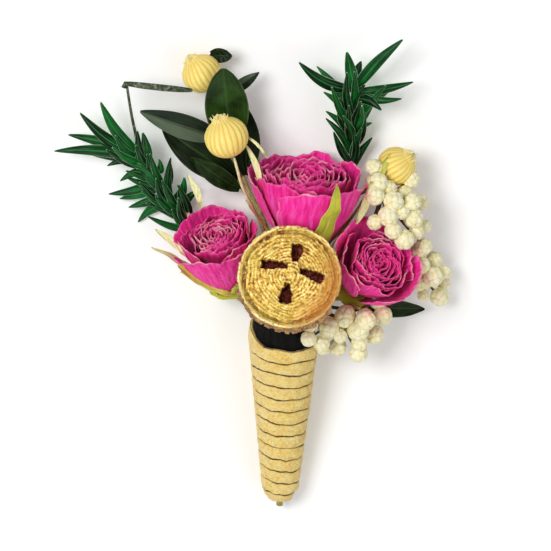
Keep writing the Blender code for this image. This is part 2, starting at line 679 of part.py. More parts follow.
def buds():
    routes = {
        "bud_top": (OUTER_RING, 255, 0.5, [(7.2, -5, 2.6), (5.2, 6, 1.0), (0.6, 16, 0.9), (-4.5, 25, 1.0), (-8, 36, 2.4)]),
        "bud_left": (OUTER_RING, 233, 0.5, [(7.2, -5, 9.2), (5.6, 4, 7.8), (3.0, 12.5, 10), (0.4, 18.5, 13.6), (-2.4, 25, 16.5)]),
        "bud_right": (OUTER_RING, 300, 0.5, [(16.5, -6, 3.6), (22.5, 3, 1.2), (29.5, 14, 2.6)]),
    }
    for name, centre, axis, radius in BUDS:
        everlasting_bud(name, centre, axis, radius)
        route = stem_route(*routes[name], bud_foot(centre, axis, radius), axis)
        stem(f"{name}_stem", route, 0.45)


def build():
    suede_ribbon()
    floral_tape()
    binding_wire()
    roses()
    pod_and_stem()
    buds()
    for name, (trunk, heads) in RICE.items():
        rice_flower(name, trunk, heads)
    ruscus()
    lower_leaf()
    for name, (trunk, leaves) in ROSEMARY.items():
        rosemary(name, trunk, leaves)
    join_all()


build()
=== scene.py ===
import math
import random

import bpy
from mathutils import Matrix, Vector, noise

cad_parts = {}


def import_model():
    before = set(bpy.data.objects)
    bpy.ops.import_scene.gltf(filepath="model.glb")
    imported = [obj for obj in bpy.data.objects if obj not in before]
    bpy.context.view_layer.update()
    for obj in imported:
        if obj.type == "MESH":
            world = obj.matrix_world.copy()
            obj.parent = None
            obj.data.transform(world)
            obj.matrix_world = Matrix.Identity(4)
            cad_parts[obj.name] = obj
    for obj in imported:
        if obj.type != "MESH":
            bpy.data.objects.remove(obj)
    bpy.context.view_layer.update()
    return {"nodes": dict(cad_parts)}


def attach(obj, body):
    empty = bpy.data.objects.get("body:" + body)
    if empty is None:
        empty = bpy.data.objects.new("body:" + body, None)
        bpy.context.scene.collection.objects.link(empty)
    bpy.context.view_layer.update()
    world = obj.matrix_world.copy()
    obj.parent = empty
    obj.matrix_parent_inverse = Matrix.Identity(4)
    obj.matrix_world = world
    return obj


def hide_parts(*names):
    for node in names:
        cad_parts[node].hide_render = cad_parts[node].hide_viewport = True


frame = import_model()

MM = 0.001
REST = Vector((-0.83, 2.26, -0.27))  # the part's frame, as the CAD rests it, in millimetres
TAU = 2 * math.pi


# ---- Materials ----
class Shader:
    """A material with a Principled shader, and short ways to add the nodes that feed it."""

    def __init__(self, name, roughness=0.6, **settings):
        self.material = bpy.data.materials.new(name)
        self.material.use_nodes = True
        self.tree = self.material.node_tree
        self.bsdf = self.tree.nodes["Principled BSDF"]
        self.bsdf.inputs["Roughness"].default_value = roughness
        for key, value in settings.items():
            self.bsdf.inputs[key.replace("_", " ")].default_value = value
        self.place = self.new("ShaderNodeTexCoord").outputs["Object"]

    def new(self, kind, **settings):
        node = self.tree.nodes.new(kind)
        for key, value in settings.items():
            setattr(node, key, value)
        return node

    def link(self, source, target):
        self.tree.links.new(source, target)

    def attribute(self, name):
        return self.new("ShaderNodeAttribute", attribute_name=name).outputs["Fac"]

    def feed(self, value, target):
        """Links a socket to the target, or sets it to a number or a colour."""
        if isinstance(value, (int, float)):
            target.default_value = value
        elif isinstance(value, tuple):
            target.default_value = (*value, 1.0)
        elif value is not None:
            self.link(value, target)

    def noise(self, scale, detail=4.0, roughness=0.6, stretch=(1, 1, 1), where=None):
        mapping = self.new("ShaderNodeMapping")
        mapping.inputs["Scale"].default_value = [scale * s for s in stretch]
        self.link(where or self.place, mapping.inputs["Vector"])
        node = self.new("ShaderNodeTexNoise")
        node.inputs["Scale"].default_value = 1.0
        node.inputs["Detail"].default_value = detail
        node.inputs["Roughness"].default_value = roughness
        self.link(mapping.outputs["Vector"], node.inputs["Vector"])
        return node.outputs["Fac"]

    def joined(self, x, y, z=None):
        node = self.new("ShaderNodeCombineXYZ")
        for source, target in zip((x, y, z), node.inputs):
            self.feed(source, target)
        return node.outputs["Vector"]

    def math(self, operation, a, b=None):
        node = self.new("ShaderNodeMath", operation=operation)
        for value, target in zip((a, b), node.inputs):
            self.feed(value, target)
        return node.outputs["Value"]

    def ramp(self, factor, *stops):
        """Stops are (position, colour) or (position, grey)."""
        node = self.new("ShaderNodeValToRGB")
        ramp = node.color_ramp
        while len(ramp.elements) < len(stops):
            ramp.elements.new(0.5)
        for element, (position, colour) in zip(ramp.elements, stops):
            element.position = position
            if isinstance(colour, (int, float)):
                colour = (colour, colour, colour)
            element.color = (*colour, 1.0)
        self.link(factor, node.inputs["Fac"])
        return node.outputs["Color"]

    def mix(self, factor, a, b):
        node = self.new("ShaderNodeMix", data_type="RGBA", clamp_factor=True)
        sockets = {s.identifier: s for s in node.inputs}
        for key, value in (("Factor_Float", factor), ("A_Color", a), ("B_Color", b)):
            self.feed(value, sockets[key])
        return next(s for s in node.outputs if s.identifier == "Result_Color")

    def colour(self, source):
        self.link(source, self.bsdf.inputs["Base Color"])

    def roughness(self, source):
        self.link(source, self.bsdf.inputs["Roughness"])

    def bump(self, height, distance, strength=1.0):
        node = self.new("ShaderNodeBump")
        node.inputs["Distance"].default_value = distance * MM
        node.inputs["Strength"].default_value = strength
        self.link(height, node.inputs["Height"])
        self.link(node.outputs["Normal"], self.bsdf.inputs["Normal"])


def petal_material():
    """Dried rose petal: magenta with fine veins, painted shade deep in the bloom, pale in places along its
    edge.
    """
    s = Shader("dried_petal", 0.6, Sheen_Weight=0.10, Sheen_Roughness=0.5, Specular_IOR_Level=0.12)
    across, along, edge, gloom = (s.attribute(name) for name in ("across", "along", "edge", "gloom"))
    veins = s.noise(1, 5, 0.65, (26, 2.4, 1), s.joined(across, along, s.attribute("seed")))
    blotch = s.noise(230, 5, 0.65)
    base = s.ramp(veins, (0.34, (0.66, 0.007, 0.19)), (0.5, (0.96, 0.030, 0.36)), (0.66, (0.98, 0.14, 0.52)))
    base = s.mix(s.ramp(blotch, (0.40, 0.0), (0.64, 0.6)), base, (0.90, 0.018, 0.29))
    # Darker towards each petal's foot: partly the petal's own deeper colour, partly painted shade deep in the
    # bloom.
    base = s.mix(s.ramp(along, (0.0, 0.7), (0.3, 0.0)), base, (0.50, 0.010, 0.125))
    # Painted shade on the inner petals, darker the deeper they lie below their rims.
    base = s.mix(gloom, base, (0.34, 0.002, 0.075))
    ragged = s.math("ADD", edge, s.math("MULTIPLY", s.math("SUBTRACT", s.noise(900, 3), 0.5), 0.05))
    places = s.ramp(s.noise(150, 2), (0.48, 0.08), (0.66, 0.75))
    rim = s.math("MULTIPLY", s.ramp(ragged, (0.965, 0.0), (0.995, 1.0)), places)
    s.colour(s.mix(rim, base, (0.94, 0.62, 0.58)))
    s.bump(s.mix(0.4, veins, s.noise(1500, 5, 0.7)), 0.3, 0.9)
    return s.material


def gilt_material():
    """Gold paint over a fibrous pod: painted highlight on the ridges, painted brown shade in the furrows and
    down its right and lower side, dark in the slits.
    """
    s = Shader("gilt_pod", 0.36, Metallic=0.6, Specular_IOR_Level=0.5)
    relief, slit, shade, husk = (s.attribute(name) for name in ("relief", "slit", "shade", "husk"))
    grain = s.noise(1100, 6, 0.75)
    tint = s.noise(150, 4, 0.65)
    # Painted light: the gold follows the relief, brown shade in the furrows and the groove inside the rim,
    # highlight on the ridges and the rim's lip.
    gold = s.ramp(
        relief, (0.30, (0.10, 0.034, 0.005)), (0.46, (0.50, 0.26, 0.034)), (0.62, (0.87, 0.59, 0.115)),
        (0.80, (1.0, 0.89, 0.45)),
    )
    gold = s.mix(s.ramp(tint, (0.44, 0.0), (0.62, 0.45)), gold, (0.62, 0.49, 0.085))
    gold = s.mix(s.ramp(grain, (0.36, 0.8), (0.48, 0.0)), gold, (0.19, 0.07, 0.008))
    gold = s.mix(s.ramp(grain, (0.58, 0.0), (0.68, 0.75)), gold, (1.0, 0.92, 0.58))
    # Painted shade: orange-brown down the pod's right side and over its lower body.
    gold = s.mix(shade, gold, (0.50, 0.19, 0.028))
    inside = s.ramp(grain, (0.35, (0.045, 0.006, 0.008)), (0.66, (0.28, 0.05, 0.03)))
    gold = s.mix(s.ramp(slit, (0.25, 0.0), (0.55, 1.0)), gold, inside)
    s.colour(s.mix(husk, gold, s.ramp(grain, (0.38, (0.20, 0.07, 0.025)), (0.66, (0.60, 0.38, 0.16)))))
    s.roughness(s.ramp(grain, (0.3, 0.60), (0.7, 0.26)))
    s.bump(grain, 0.35, 1.0)
    return s.material


def suede_material():
    """Tan suede: a short nap, with painted shade along the edges where one turn meets the next."""
    s = Shader("suede", 0.92, Sheen_Weight=0.35, Sheen_Roughness=0.4, Specular_IOR_Level=0.12)
    edge = s.attribute("edge")
    nap = s.noise(1500, 6, 0.8)
    patch = s.noise(420, 5, 0.7)
    tan = s.ramp(patch, (0.32, (0.88, 0.58, 0.15)), (0.5, (0.98, 0.74, 0.23)), (0.66, (0.99, 0.84, 0.37)))
    tan = s.mix(s.ramp(nap, (0.36, 0.85), (0.52, 0.0)), tan, (0.66, 0.38, 0.09))
    tan = s.mix(s.ramp(nap, (0.58, 0.0), (0.70, 0.6)), tan, (0.98, 0.88, 0.55))
    tan = s.mix(s.ramp(s.noise(90, 3), (0.45, 0.0), (0.65, 0.35)), tan, (0.95, 0.75, 0.32))
    # Painted shade along the edges where one turn meets the next, deeper in places.
    painted_seam_shade = s.math("ADD", edge, s.math("MULTIPLY", s.math("SUBTRACT", s.noise(600, 4), 0.5), 0.10))
    depth = s.ramp(s.noise(90, 3), (0.36, 0.55), (0.52, 1.0))
    painted_seam_shade = s.math("MULTIPLY", s.ramp(painted_seam_shade, (0.86, 0.0), (0.95, 1.0)), depth)
    s.colour(s.mix(painted_seam_shade, tan, (0.08, 0.03, 0.014)))
    s.bump(nap, 0.35, 1.0)
    return s.material


def rice_material():
    """Papery ivory bracts, with straw-yellow painted shade in their creases and under each head, on dark
    stalks.
    """
    s = Shader("rice_flower", 0.6, Specular_IOR_Level=0.2)
    painted_crease_shade, stalk = s.attribute("painted_crease_shade"), s.attribute("stalk")
    fleck = s.noise(700, 4, 0.6)
    cream = s.ramp(fleck, (0.3, (0.90, 0.81, 0.42)), (0.50, (0.96, 0.91, 0.60)), (0.72, (0.98, 0.96, 0.76)))
    # Painted shade: straw-yellow in the creases between bracts and under each head.
    cream = s.mix(s.ramp(painted_crease_shade, (0.25, 0.0), (0.95, 0.85)), cream, (0.78, 0.56, 0.14))
    s.colour(s.mix(stalk, cream, (0.10, 0.08, 0.025)))
    s.bump(fleck, 0.12, 0.7)
    return s.material


def bud_material():
    """Warm yellow paper, lighter along its ribs and darker orange between them: painted light and shade."""
    s = Shader("everlasting_bud", 0.5, Specular_IOR_Level=0.35)
    rib, tip = s.attribute("rib"), s.attribute("tip")
    streak = s.noise(1, 4, 0.65, (40, 3, 1), s.joined(s.attribute("around"), tip))
    # Painted light and shade: darker orange in the furrows between ribs, lighter along the ribs.
    paper = s.ramp(rib, (0.0, (0.74, 0.38, 0.045)), (0.4, (0.93, 0.66, 0.13)), (1.0, (0.97, 0.84, 0.28)))
    paper = s.mix(s.ramp(streak, (0.35, 0.5), (0.6, 0.0)), paper, (0.90, 0.58, 0.11))
    paper = s.mix(s.ramp(tip, (0.0, 0.6), (0.22, 0.0)), paper, (0.74, 0.64, 0.15))
    s.colour(s.mix(s.ramp(tip, (0.86, 0.0), (1.0, 0.7)), paper, (0.97, 0.90, 0.50)))
    s.bump(streak, 0.12, 0.8)
    return s.material


def leaf_material(name, dark, light, vein_and_highlight, under, roughness, streaks, half=0.0, margin=0.5):
    """A leaf with lengthwise veins, a pale midrib and margin, and a paler underside. half pales one side. On
    rosemary the bright veins and pale margin are painted highlights.
    """
    s = Shader(name, roughness, Specular_IOR_Level=0.13)
    across, along, edge, back = (s.attribute(a) for a in ("across", "along", "edge", "back"))
    lines = s.noise(1, 4, 0.6, (streaks, 1.5, 1), s.joined(across, along, s.attribute("seed")))
    patch = s.noise(160, 4, 0.65)
    # The tone value darkens a whole leaf: a tone chosen at random on the rosemary, painted shade on the
    # ruscus leaves that are set low.
    tone = s.attribute("tone")
    base = s.mix(s.math("MULTIPLY", s.ramp(patch, (0.35, 0.2), (0.7, 1.0)), tone), dark, light)
    base = s.mix(s.ramp(lines, (0.52, 0.0), (0.74, 0.6)), base, vein_and_highlight)
    if half:
        base = s.mix(s.ramp(across, (0.40, half), (0.54, 0.0)), base, under)
    middle = s.ramp(s.math("ABSOLUTE", s.math("SUBTRACT", across, 0.5)), (0.0, 0.6), (0.05, 0.0))
    base = s.mix(middle, base, vein_and_highlight)
    base = s.mix(s.ramp(edge, (0.92, 0.0), (1.0, margin)), base, under)
    base = s.mix(back, base, under)
    fibre = s.noise(1100, 5, 0.7)
    dry_stops = (0.38, (0.015, 0.022, 0.012)), (0.56, (0.09, 0.115, 0.065)), (0.72, (0.38, 0.42, 0.31))
    dried = s.ramp(fibre, *dry_stops)
    s.colour(s.mix(s.attribute("dry"), base, dried))
    s.bump(s.mix(0.5, lines, s.noise(1400, 4, 0.6)), 0.16, 0.9)
    return s.material


def plain_material(name, stops, scale, roughness, bump=0.1, stretch=(1, 1, 1)):
    s = Shader(name, roughness, Specular_IOR_Level=0.08)
    grain = s.noise(scale, 5, 0.65, stretch)
    s.colour(s.ramp(grain, *stops))
    s.bump(grain, bump, 0.9)
    return s.material


PETAL = petal_material()
GILT = gilt_material()
SUEDE = suede_material()
RICE = rice_material()
BUD = bud_material()
SEPAL = leaf_material(
    "sepal", (0.36, 0.36, 0.025), (0.66, 0.66, 0.06), (0.84, 0.82, 0.22), (0.92, 0.89, 0.52), 0.7, 16,
    margin=0.8,
)
# Rosemary: the bright green vein colour paints highlight streaks on the glossy leaves, and the pale margin is
# a painted highlight.
ROSEMARY = leaf_material(
    "rosemary", (0.001, 0.007, 0.002), (0.006, 0.15, 0.022), (0.03, 0.36, 0.07), (0.52, 0.78, 0.48), 0.24, 7,
    margin=1.0,
)
RUSCUS = leaf_material(
    "ruscus", (0.0025, 0.006, 0.002), (0.026, 0.072, 0.010), (0.05, 0.11, 0.022), (0.16, 0.20, 0.10), 0.38, 30
)
RUSCUS_PALE = leaf_material(
    "ruscus_pale", (0.005, 0.008, 0.005), (0.020, 0.038, 0.018), (0.065, 0.10, 0.058), (0.13, 0.18, 0.11),
    0.45, 30, half=0.7,
)
STEM = plain_material("stem", ((0.3, (0.26, 0.18, 0.05)), (0.7, (0.66, 0.57, 0.21))), 900, 0.75, 0.15)
STRAW = plain_material("straw_stem", ((0.3, (0.74, 0.58, 0.27)), (0.7, (0.94, 0.85, 0.56))), 900, 0.7, 0.12)
TAPE = plain_material(
    "floral_tape", ((0.35, (0.001, 0.001, 0.001)), (0.7, (0.007, 0.007, 0.006))), 700, 0.7, 0.5, (1, 0.35, 1)
)
WIRE = plain_material("wire", ((0.3, (0.02, 0.05, 0.02)), (0.7, (0.05, 0.12, 0.05))), 1500, 0.4)


# ---- Mesh helpers ----
def new_object(name, data):
    made = bpy.data.objects.new(name, data)
    bpy.context.scene.collection.objects.link(made)
    return made


class Form:
    """Points, faces and named values on the points, gathered from several sheets into one mesh."""

    def __init__(self, name, material):
        self.name, self.material = name, material
        self.points, self.faces, self.values = [], [], {}

    def grid(self, rows, wrap=False, **values):
        """Rows of equal length become a sheet, closed round where wrap is set.

        A value is one number for the whole sheet, or a list with a row of numbers for each row of points.
        """
        first, wide = len(self.points), len(rows[0])
        for row in rows:
            self.points.extend(row)
        for name in {**self.values, **values}:
            kept = self.values.setdefault(name, [0.0] * first)
            value = values.get(name, 0.0)
            for r in range(len(rows)):
                kept.extend(value[r] if isinstance(value, list) else [value] * wide)
        for r in range(len(rows) - 1):
            a = first + r * wide
            for c in range(wide if wrap else wide - 1):
                d = (c + 1) % wide
                self.faces.append((a + c, a + d, a + wide + d, a + wide + c))

    def sheet(self, tall, wide, point, names="", wrap=False, capped=False, **values):
        """A grid of tall by wide steps. point(j, k) gives a place, and then the values that names lists.

        Where capped is set, each end closes to a point in the middle of its last row.
        """
        columns = range(wide if wrap else wide + 1)
        cells = [[point(j, k) for k in columns] for j in range(tall + 1)]
        rows = [[cell[0] for cell in row] for row in cells]
        for n, name in enumerate(names.split(), 1):
            values[name] = [[cell[n] for cell in row] for row in cells]
        if capped:
            low, high = ([sum(row, Vector()) / len(row)] * len(row) for row in (rows[0], rows[-1]))
            rows = [low, *rows, high]
            values = {k: [v[0], *v, v[-1]] if isinstance(v, list) else v for k, v in values.items()}
        self.grid(rows, wrap, **values)

    def tube(self, route, radius, end_radius=None, sides=10, **values):
        self.grid(tube_rows(route, radius, end_radius, sides), True, **values)

    def build(self, nodes, thickness=0.0):
        mesh = bpy.data.meshes.new(self.name)
        mesh.from_pydata([(Vector(p) + REST) * MM for p in self.points], [], self.faces)
        mesh.shade_smooth()
        for name, numbers in self.values.items():
            mesh.attributes.new(name, "FLOAT", "POINT").data.foreach_set("value", numbers)
        mesh.materials.append(self.material)
        made = new_object(self.name, mesh)
        if thickness:
            solid = made.modifiers.new("thickness", "SOLIDIFY")
            solid.thickness = thickness * MM
            solid.offset = 0.0
        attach(made, "root")
        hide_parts(*nodes)


def basis(axis, right=Vector((1, 0, 0))):
    """(across, towards the viewer, along axis), unit and square to each other."""
    along = Vector(axis).normalized()
    across = (right - along * right.dot(along)).normalized()
    return across, across.cross(along), along


def turned(across, front, angle):
    """The unit way at an angle from across, towards front."""
    return across * math.cos(angle) + front * math.sin(angle)


def wobble(x, y, z, scale=1.0):
    """Smooth noise from -1 to 1, about scale millimetres across."""
    return noise.noise(Vector((x, y, z)) / scale)


def ring_wobble(reach, angle, z, scale=1.0):
    """The same noise at an angle on a circle of radius reach, so that it joins up all round."""
    return wobble(reach * math.cos(angle), reach * math.sin(angle), z, scale)


def ease(low, high, x):
    t = min(max((x - low) / (high - low), 0.0), 1.0)
    return t * t * (3 - 2 * t)


def tube_rows(route, radius, end_radius=None, sides=10):
    """Rows of points round a route, closed to a point at both ends."""
    route = [Vector(p) for p in route]
    rows, side = [], Vector((0.3, 0.2, 1))
    last = len(route) - 1
    for i, centre in enumerate(route):
        way = (route[min(i + 1, last)] - route[max(i - 1, 0)]).normalized()
        side = (side - way * side.dot(way)).normalized()
        other = way.cross(side)
        r = radius + ((end_radius or radius) - radius) * i / last
        ring = [centre + turned(side, other, TAU * k / sides) * r for k in range(sides)]
        if i == 0:
            rows.append([centre.copy() for _ in ring])
        rows.append(ring)
        if i == last:
            rows.append([centre.copy() for _ in ring])
    return rows


def smooth_route(points, start_way, end_way, spacing):
    """Points along a smooth curve that passes through the given ones and keeps its end directions."""
    knots = [Vector(p) for p in points]
    spans = [(b - a).length for a, b in zip(knots, knots[1:])]
    ways = [Vector(start_way).normalized()]
    for i in range(1, len(knots) - 1):
        before, after = spans[i - 1], spans[i]
        slope = (knots[i] - knots[i - 1]) / before * after + (knots[i + 1] - knots[i]) / after * before
        ways.append(slope / (before + after))
    ways.append(Vector(end_way).normalized())
    route = [knots[0]]
    for i, span in enumerate(spans):
        steps = max(2, math.ceil(span / spacing))
        for k in range(1, steps + 1):
            t = k / steps
            route.append(
                knots[i] * (1 + 2 * t) * (1 - t) ** 2
                + ways[i] * (span * t * (1 - t) ** 2)
                + knots[i + 1] * (3 - 2 * t) * t**2
                - ways[i + 1] * (span * t**2 * (1 - t))
            )
    return route


def two_faces(form, tall, wide, place, backs, rim=0.0, **values):
    """A leaf's two faces. place(s, t, back) gives a point: s runs from base to tip, t from -1 to 1 across."""
    for back in (0, 1):
        def point(j, i):
            s, t = j / tall, 2 * i / wide - 1
            edge = max(abs(t), rim * ease(0.9, 1.0, s))
            return place(s, -t if back else t, back), i / wide, s, edge

        form.sheet(tall, wide, point, "across along edge", back=backs[back], **values)


def leaf(form, base, tip, width, bow, fold, seed, skin=0.2, tall=22, wide=10, power=0.85, crimp=0.0,
         sway=0.0, widest=1.0, pale=None, dry=0.0, tone=1.0):
    """Both faces of a leaf, widest in its middle, that meet along its margin."""
    base, tip = Vector(base), Vector(tip)
    way = (tip - base).normalized()
    side = way.cross(Vector((0, 0, 1))).normalized()
    up = side.cross(way)
    length = (tip - base).length

    def place(s, t, back):
        centre = base + way * (length * s) + up * (bow * 4 * s * (1 - s))
        centre += side * (sway * math.sin(math.pi * s))
        half = width / 2 * max(math.sin(math.pi * (0.05 + 0.93 * s ** widest)), 0.01) ** power
        rise = fold * width * t * t - 0.10 * width * math.exp(-((t / 0.10) ** 2)) * (1 - s)
        rise += crimp * wobble(7 * s, 2.5 * t, seed)
        thick = skin * (1 - t * t) * math.sin(math.pi * (0.03 + 0.94 * s))
        return centre + side * (half * t) + up * (rise + (-thick if back else thick))

    backs = (0.0, 0.9) if pale is None else (pale, pale)
    two_faces(form, tall, wide, place, backs, 1.0, seed=seed % 89, dry=dry, tone=tone)


# ---- Handle, as the CAD sizes it ----
HANDLE_TIP = Vector((8.4, -68.3, 5.0))
HANDLE_TOP = Vector((9.5, -17.9, 14.5))
HANDLE_TIP_RADIUS = 4.9
HANDLE_TOP_RADIUS = 10.0
RIBBON_TURNS = 12
RIBBON_THICKNESS = 0.9
TAPE_COLLAR = 5.0
TAPE_OUTSIDE = RIBBON_THICKNESS + 0.35
TAPE_THICKNESS = 0.5
STEM_BORE = TAPE_OUTSIDE + TAPE_THICKNESS
HANDLE_AXIS = (HANDLE_TOP - HANDLE_TIP).normalized()
HANDLE_LENGTH = (HANDLE_TOP - HANDLE_TIP).length
MIDDLE, INNER_RING, OUTER_RING = 0, 1, 2


def handle_radius(share):
    return HANDLE_TIP_RADIUS + (HANDLE_TOP_RADIUS - HANDLE_TIP_RADIUS) * share


def handle_point(share, radius, angle):
    across, front, _ = basis(HANDLE_AXIS)
    return HANDLE_TIP + HANDLE_AXIS * (HANDLE_LENGTH * share) + turned(across, front, angle) * radius


def stem_route(ring, angle, foot, waypoints, end, end_way):
    """A stem's route: straight in the handle from foot to the collar, then by its waypoints."""
    ends = []
    for share in (foot, 1.0 + TAPE_COLLAR / HANDLE_LENGTH):
        inner = 2.12 + 1.13 * share
        outer = (handle_radius(min(share, 1.0)) - STEM_BORE) * 0.80
        ends.append(handle_point(share, (0.0, inner, outer)[ring], math.radians(angle)))
    low, high = ends
    return [low, *smooth_route([high, *waypoints, end], high - low, end_way, 1.5)]


# ---- Roses ----
GUARD_PETALS = 5
INNER_PETALS = 34
PETAL_STEP = 0.8


class Rose:
    """A dried rose, placed and sized as in the CAD. A sepal is its angle, length, width and spread."""

    def __init__(self, name, base, axis, height, radius, foot, turn, sepals):
        self.name, self.base, self.height = name, Vector(base), height
        self.radius, self.foot, self.turn, self.sepals = radius, foot, turn, sepals
        self.across, self.front, self.axis = basis(axis)

    def reach(self, h):
        u = min(max(h / self.height, 0.0), 1.0)
        return self.foot + (self.radius - self.foot) * (1 - (1 - u) ** 1.8)

    def point(self, h, radius, angle):
        return self.base + self.axis * h + turned(self.across, self.front, angle) * radius


ROSES = (
    Rose("rose_centre", (15.0, 8.3, 13.8), (0.04, 0.976, 0.209), 21.5, 16.3, 6.0, 60,
         ((66, 25, 7.5, 0.5), (172, 13, 4.5, 1.5), (228, 21, 4.5, 3.0),
          (290, 10, 5.0, 0.5), (2, 14, 5.0, 0.5))),
    Rose("rose_left", (-5.4, -3.4, 9.6), (-0.224, 0.850, 0.477), 18.5, 12.4, 5.4, 100,
         ((148, 12, 6.0, 1.0), (186, 15, 4.5, 5.0), (236, 19, 5.5, 1.0),
          (72, 7, 5.0, 0.5), (318, 8, 4.5, 0.5))),
    Rose("rose_right", (29.7, -4.3, 13.3), (0.406, 0.567, 0.717), 17.0, 12.5, 5.2, 250,
         ((165, 9, 5.0, 0.5), (95, 4.5, 4.5, 0.2), (20, 9, 4.5, 0.5),
          (250, 5, 4.5, 0.3), (310, 5, 4.5, 0.3))),
)
WISPS = {  # dry sepals that stand free of the bloom: base, tip, width, bow, how pale
    "rose_centre": (
        ((3.2, 24.0, 20.5), (-1.2, 36.6, 16.5), 1.8, -1.5, 0.95),
        ((5.0, 32.6, 17.5), (-0.9, 38.6, 15.5), 0.9, 2.2, 0.95),
        ((30.5, 22.5, 18.0), (38.8, 33.4, 15.0), 2.8, 1.2, 0.15),
        ((29.5, 15.0, 22.0), (33.4, 27.0, 21.5), 2.2, -1.2, 0.8),
    ),
    "rose_left": (
        ((-13.5, 17.5, 12.0), (-17.6, 27.0, 11.0), 2.0, 1.9, 0.95),
        ((-17.4, 3.2, 10.5), (-26.6, 11.0, 9.0), 2.2, 1.6, 0.9),
        ((-2.8, -6.2, 14.0), (-20.2, 2.8, 18.0), 6.6, 1.6, 0.1),
    ),
}


def petal(rose, form, middle, half, top, radius_at, curl, ruffle, seed, wide, tall, start=0.0):
    """One crumpled petal. radius_at gives its distance from the rose's axis at a height."""
    rng = random.Random(seed)
    phase, phase_2, lean = rng.uniform(0, TAU), rng.uniform(0, TAU), rng.uniform(-0.04, 0.04)
    waves = rng.uniform(2.2, 3.6)

    def point(j, i):
        s = start + (1 - start) * j / tall
        t = 2 * i / wide - 1
        notch = 0.022 * math.cos(3 * t + phase) + 0.016 * math.sin(8 * t + phase_2)
        notch += 0.012 * math.sin(21 * t + phase)
        h = top * s * (1 - 0.13 * t * t + lean * t + notch * s * s)
        angle = middle + t * half * (0.74 + 0.26 * math.sin(math.pi * min(s, 0.8)))
        r = radius_at(h)
        x, y = r * math.cos(angle), r * math.sin(angle)
        r += s * s * ruffle * math.sin(waves * 2 * t + phase)
        folds = wobble(x, y, 0.18 * h + seed * 7, 1.25)
        pleats = abs(wobble(x, y, 0.3 * h + seed * 5, 0.75))
        r += (0.3 + 0.7 * s) * (0.55 * ruffle * folds - 0.6 * ruffle * pleats)
        r += 0.16 * wobble(x * 2, y * 2, 1.1 * h + seed * 3, 0.8)
        lip = max(0.0, s - 0.80) / 0.20
        r += curl * lip * lip * (0.7 + 0.6 * math.sin(2.1 * t + phase_2))
        h -= abs(curl) * 0.25 * lip * lip
        h += 0.35 * ruffle * s * wobble(x, y, seed * 11, 0.9)
        edge = max(s, abs(t) if s > 0.25 else 0.0)
        # Painted shade for inner petals: darker the deeper the point lies below the petal's top.
        gloom = 0.92 * ease(0.1, 2.6, top * (1 - s)) if start else 0.0
        return rose.point(h, max(r, 0.15), angle), i / wide, s, edge, gloom

    form.sheet(tall, wide, point, "across along edge gloom", seed=seed % 97)


def rose_bloom(rose, number):
    for index in range(GUARD_PETALS):
        form = Form(f"{rose.name}_outer_petal_{index + 1}", PETAL)
        petal(
            rose, form, math.radians(rose.turn + index * 144), math.radians(66 - 2 * index), rose.height,
            lambda h, k=index: rose.reach(h) - k * PETAL_STEP,
            1.1 * (1 - index / GUARD_PETALS), 0.55, 11 + 31 * number + index, 84, 48,
        )
        form.build([f"{rose.name}_petal_{index + 1}"], 0.22)
    form = Form(f"{rose.name}_inner_petals", PETAL)
    rng = random.Random(number)
    inset = GUARD_PETALS * PETAL_STEP
    for k in range(INNER_PETALS):
        share = 1 - (k + 0.5) / INNER_PETALS
        size = 0.05 + 0.95 * share ** 0.9
        middle = rose.turn + 2.4 * k + rng.uniform(-0.3, 0.3)
        half = math.radians(54 + 80 * (1 - share) ** 1.5)
        top = rose.height * (0.925 + 0.06 * share + rng.uniform(-0.022, 0.022))
        petal(
            rose, form, middle, half, top,
            lambda h, f=size: max((rose.reach(h) - inset + 0.2) * f, 0.4),
            rng.uniform(-0.9, 0.35), 0.26 + 0.40 * share, 501 + 61 * number + k, 52, 16, 0.4,
        )
    form.build([f"{rose.name}_heart"], 0.18)


def calyx(rose, number):
    """The ribbed hip and its five downy sepals."""
    form = Form(f"{rose.name}_hip_and_sepals", SEPAL)
    rim, top, steps = rose.foot + 1.5, -0.525, 60
    outline = [(0.0, 0.0), (rim - 0.6, 0.0), (rim - 0.1, 0.25), (rim, 0.7), (0.92 * rim, 1.3)]
    outline += [(0.80 * rim, 2.0), (0.62 * rim, 2.9), (0.45 * rim, 3.6), (1.9, 4.6), (1.4, 5.0), (0.0, 5.0)]

    def hip(j, k):
        r, depth = outline[j]
        rib = 1 + 0.025 * math.sin(10 * TAU * k / steps)
        return rose.point(top - depth, r * rib, TAU * k / steps), k / 8

    form.sheet(len(outline) - 1, steps, hip, "across", wrap=True, along=0.7, tone=0.7)
    for index, (angle, length, width, spread) in enumerate(rose.sepals):
        seed = 40 * number + index

        def sepal(s, t, back):
            h = -1.4 + (length + 1.4) * s
            radius = rose.reach(max(h, 0.0)) + 1.0 + spread * s * s
            radius += 1.4 * ease(0.6 * rose.height, 0.8 * rose.height, h)
            half = width / 2 * (1 - s) ** 0.8 * (0.8 + 0.8 * s) + 0.08
            half *= 1 + 0.08 * math.sin(23 * s + seed)
            ripple = 0.22 * wobble(8 * s, 3 * t, seed) + 0.18 * t * t * math.sin(9 * s + seed)
            ripple -= 0.25 * (1 - abs(t)) ** 4
            skin = 0.22 * (1 - t * t) + 0.03
            out = radius + ripple + (-skin if back else skin)
            return rose.point(h, out, math.radians(angle) + t * half / radius)

        two_faces(form, 26, 12, sepal, (0.0, 0.6), tone=1.0)
    for base, tip, width, bow, pale in WISPS.get(rose.name, ()):
        leaf(form, base, tip, width, bow, 0.2, 9, skin=0.12, tall=30, crimp=0.7, pale=pale, sway=0.8)
    form.build([f"{rose.name}_calyx"])


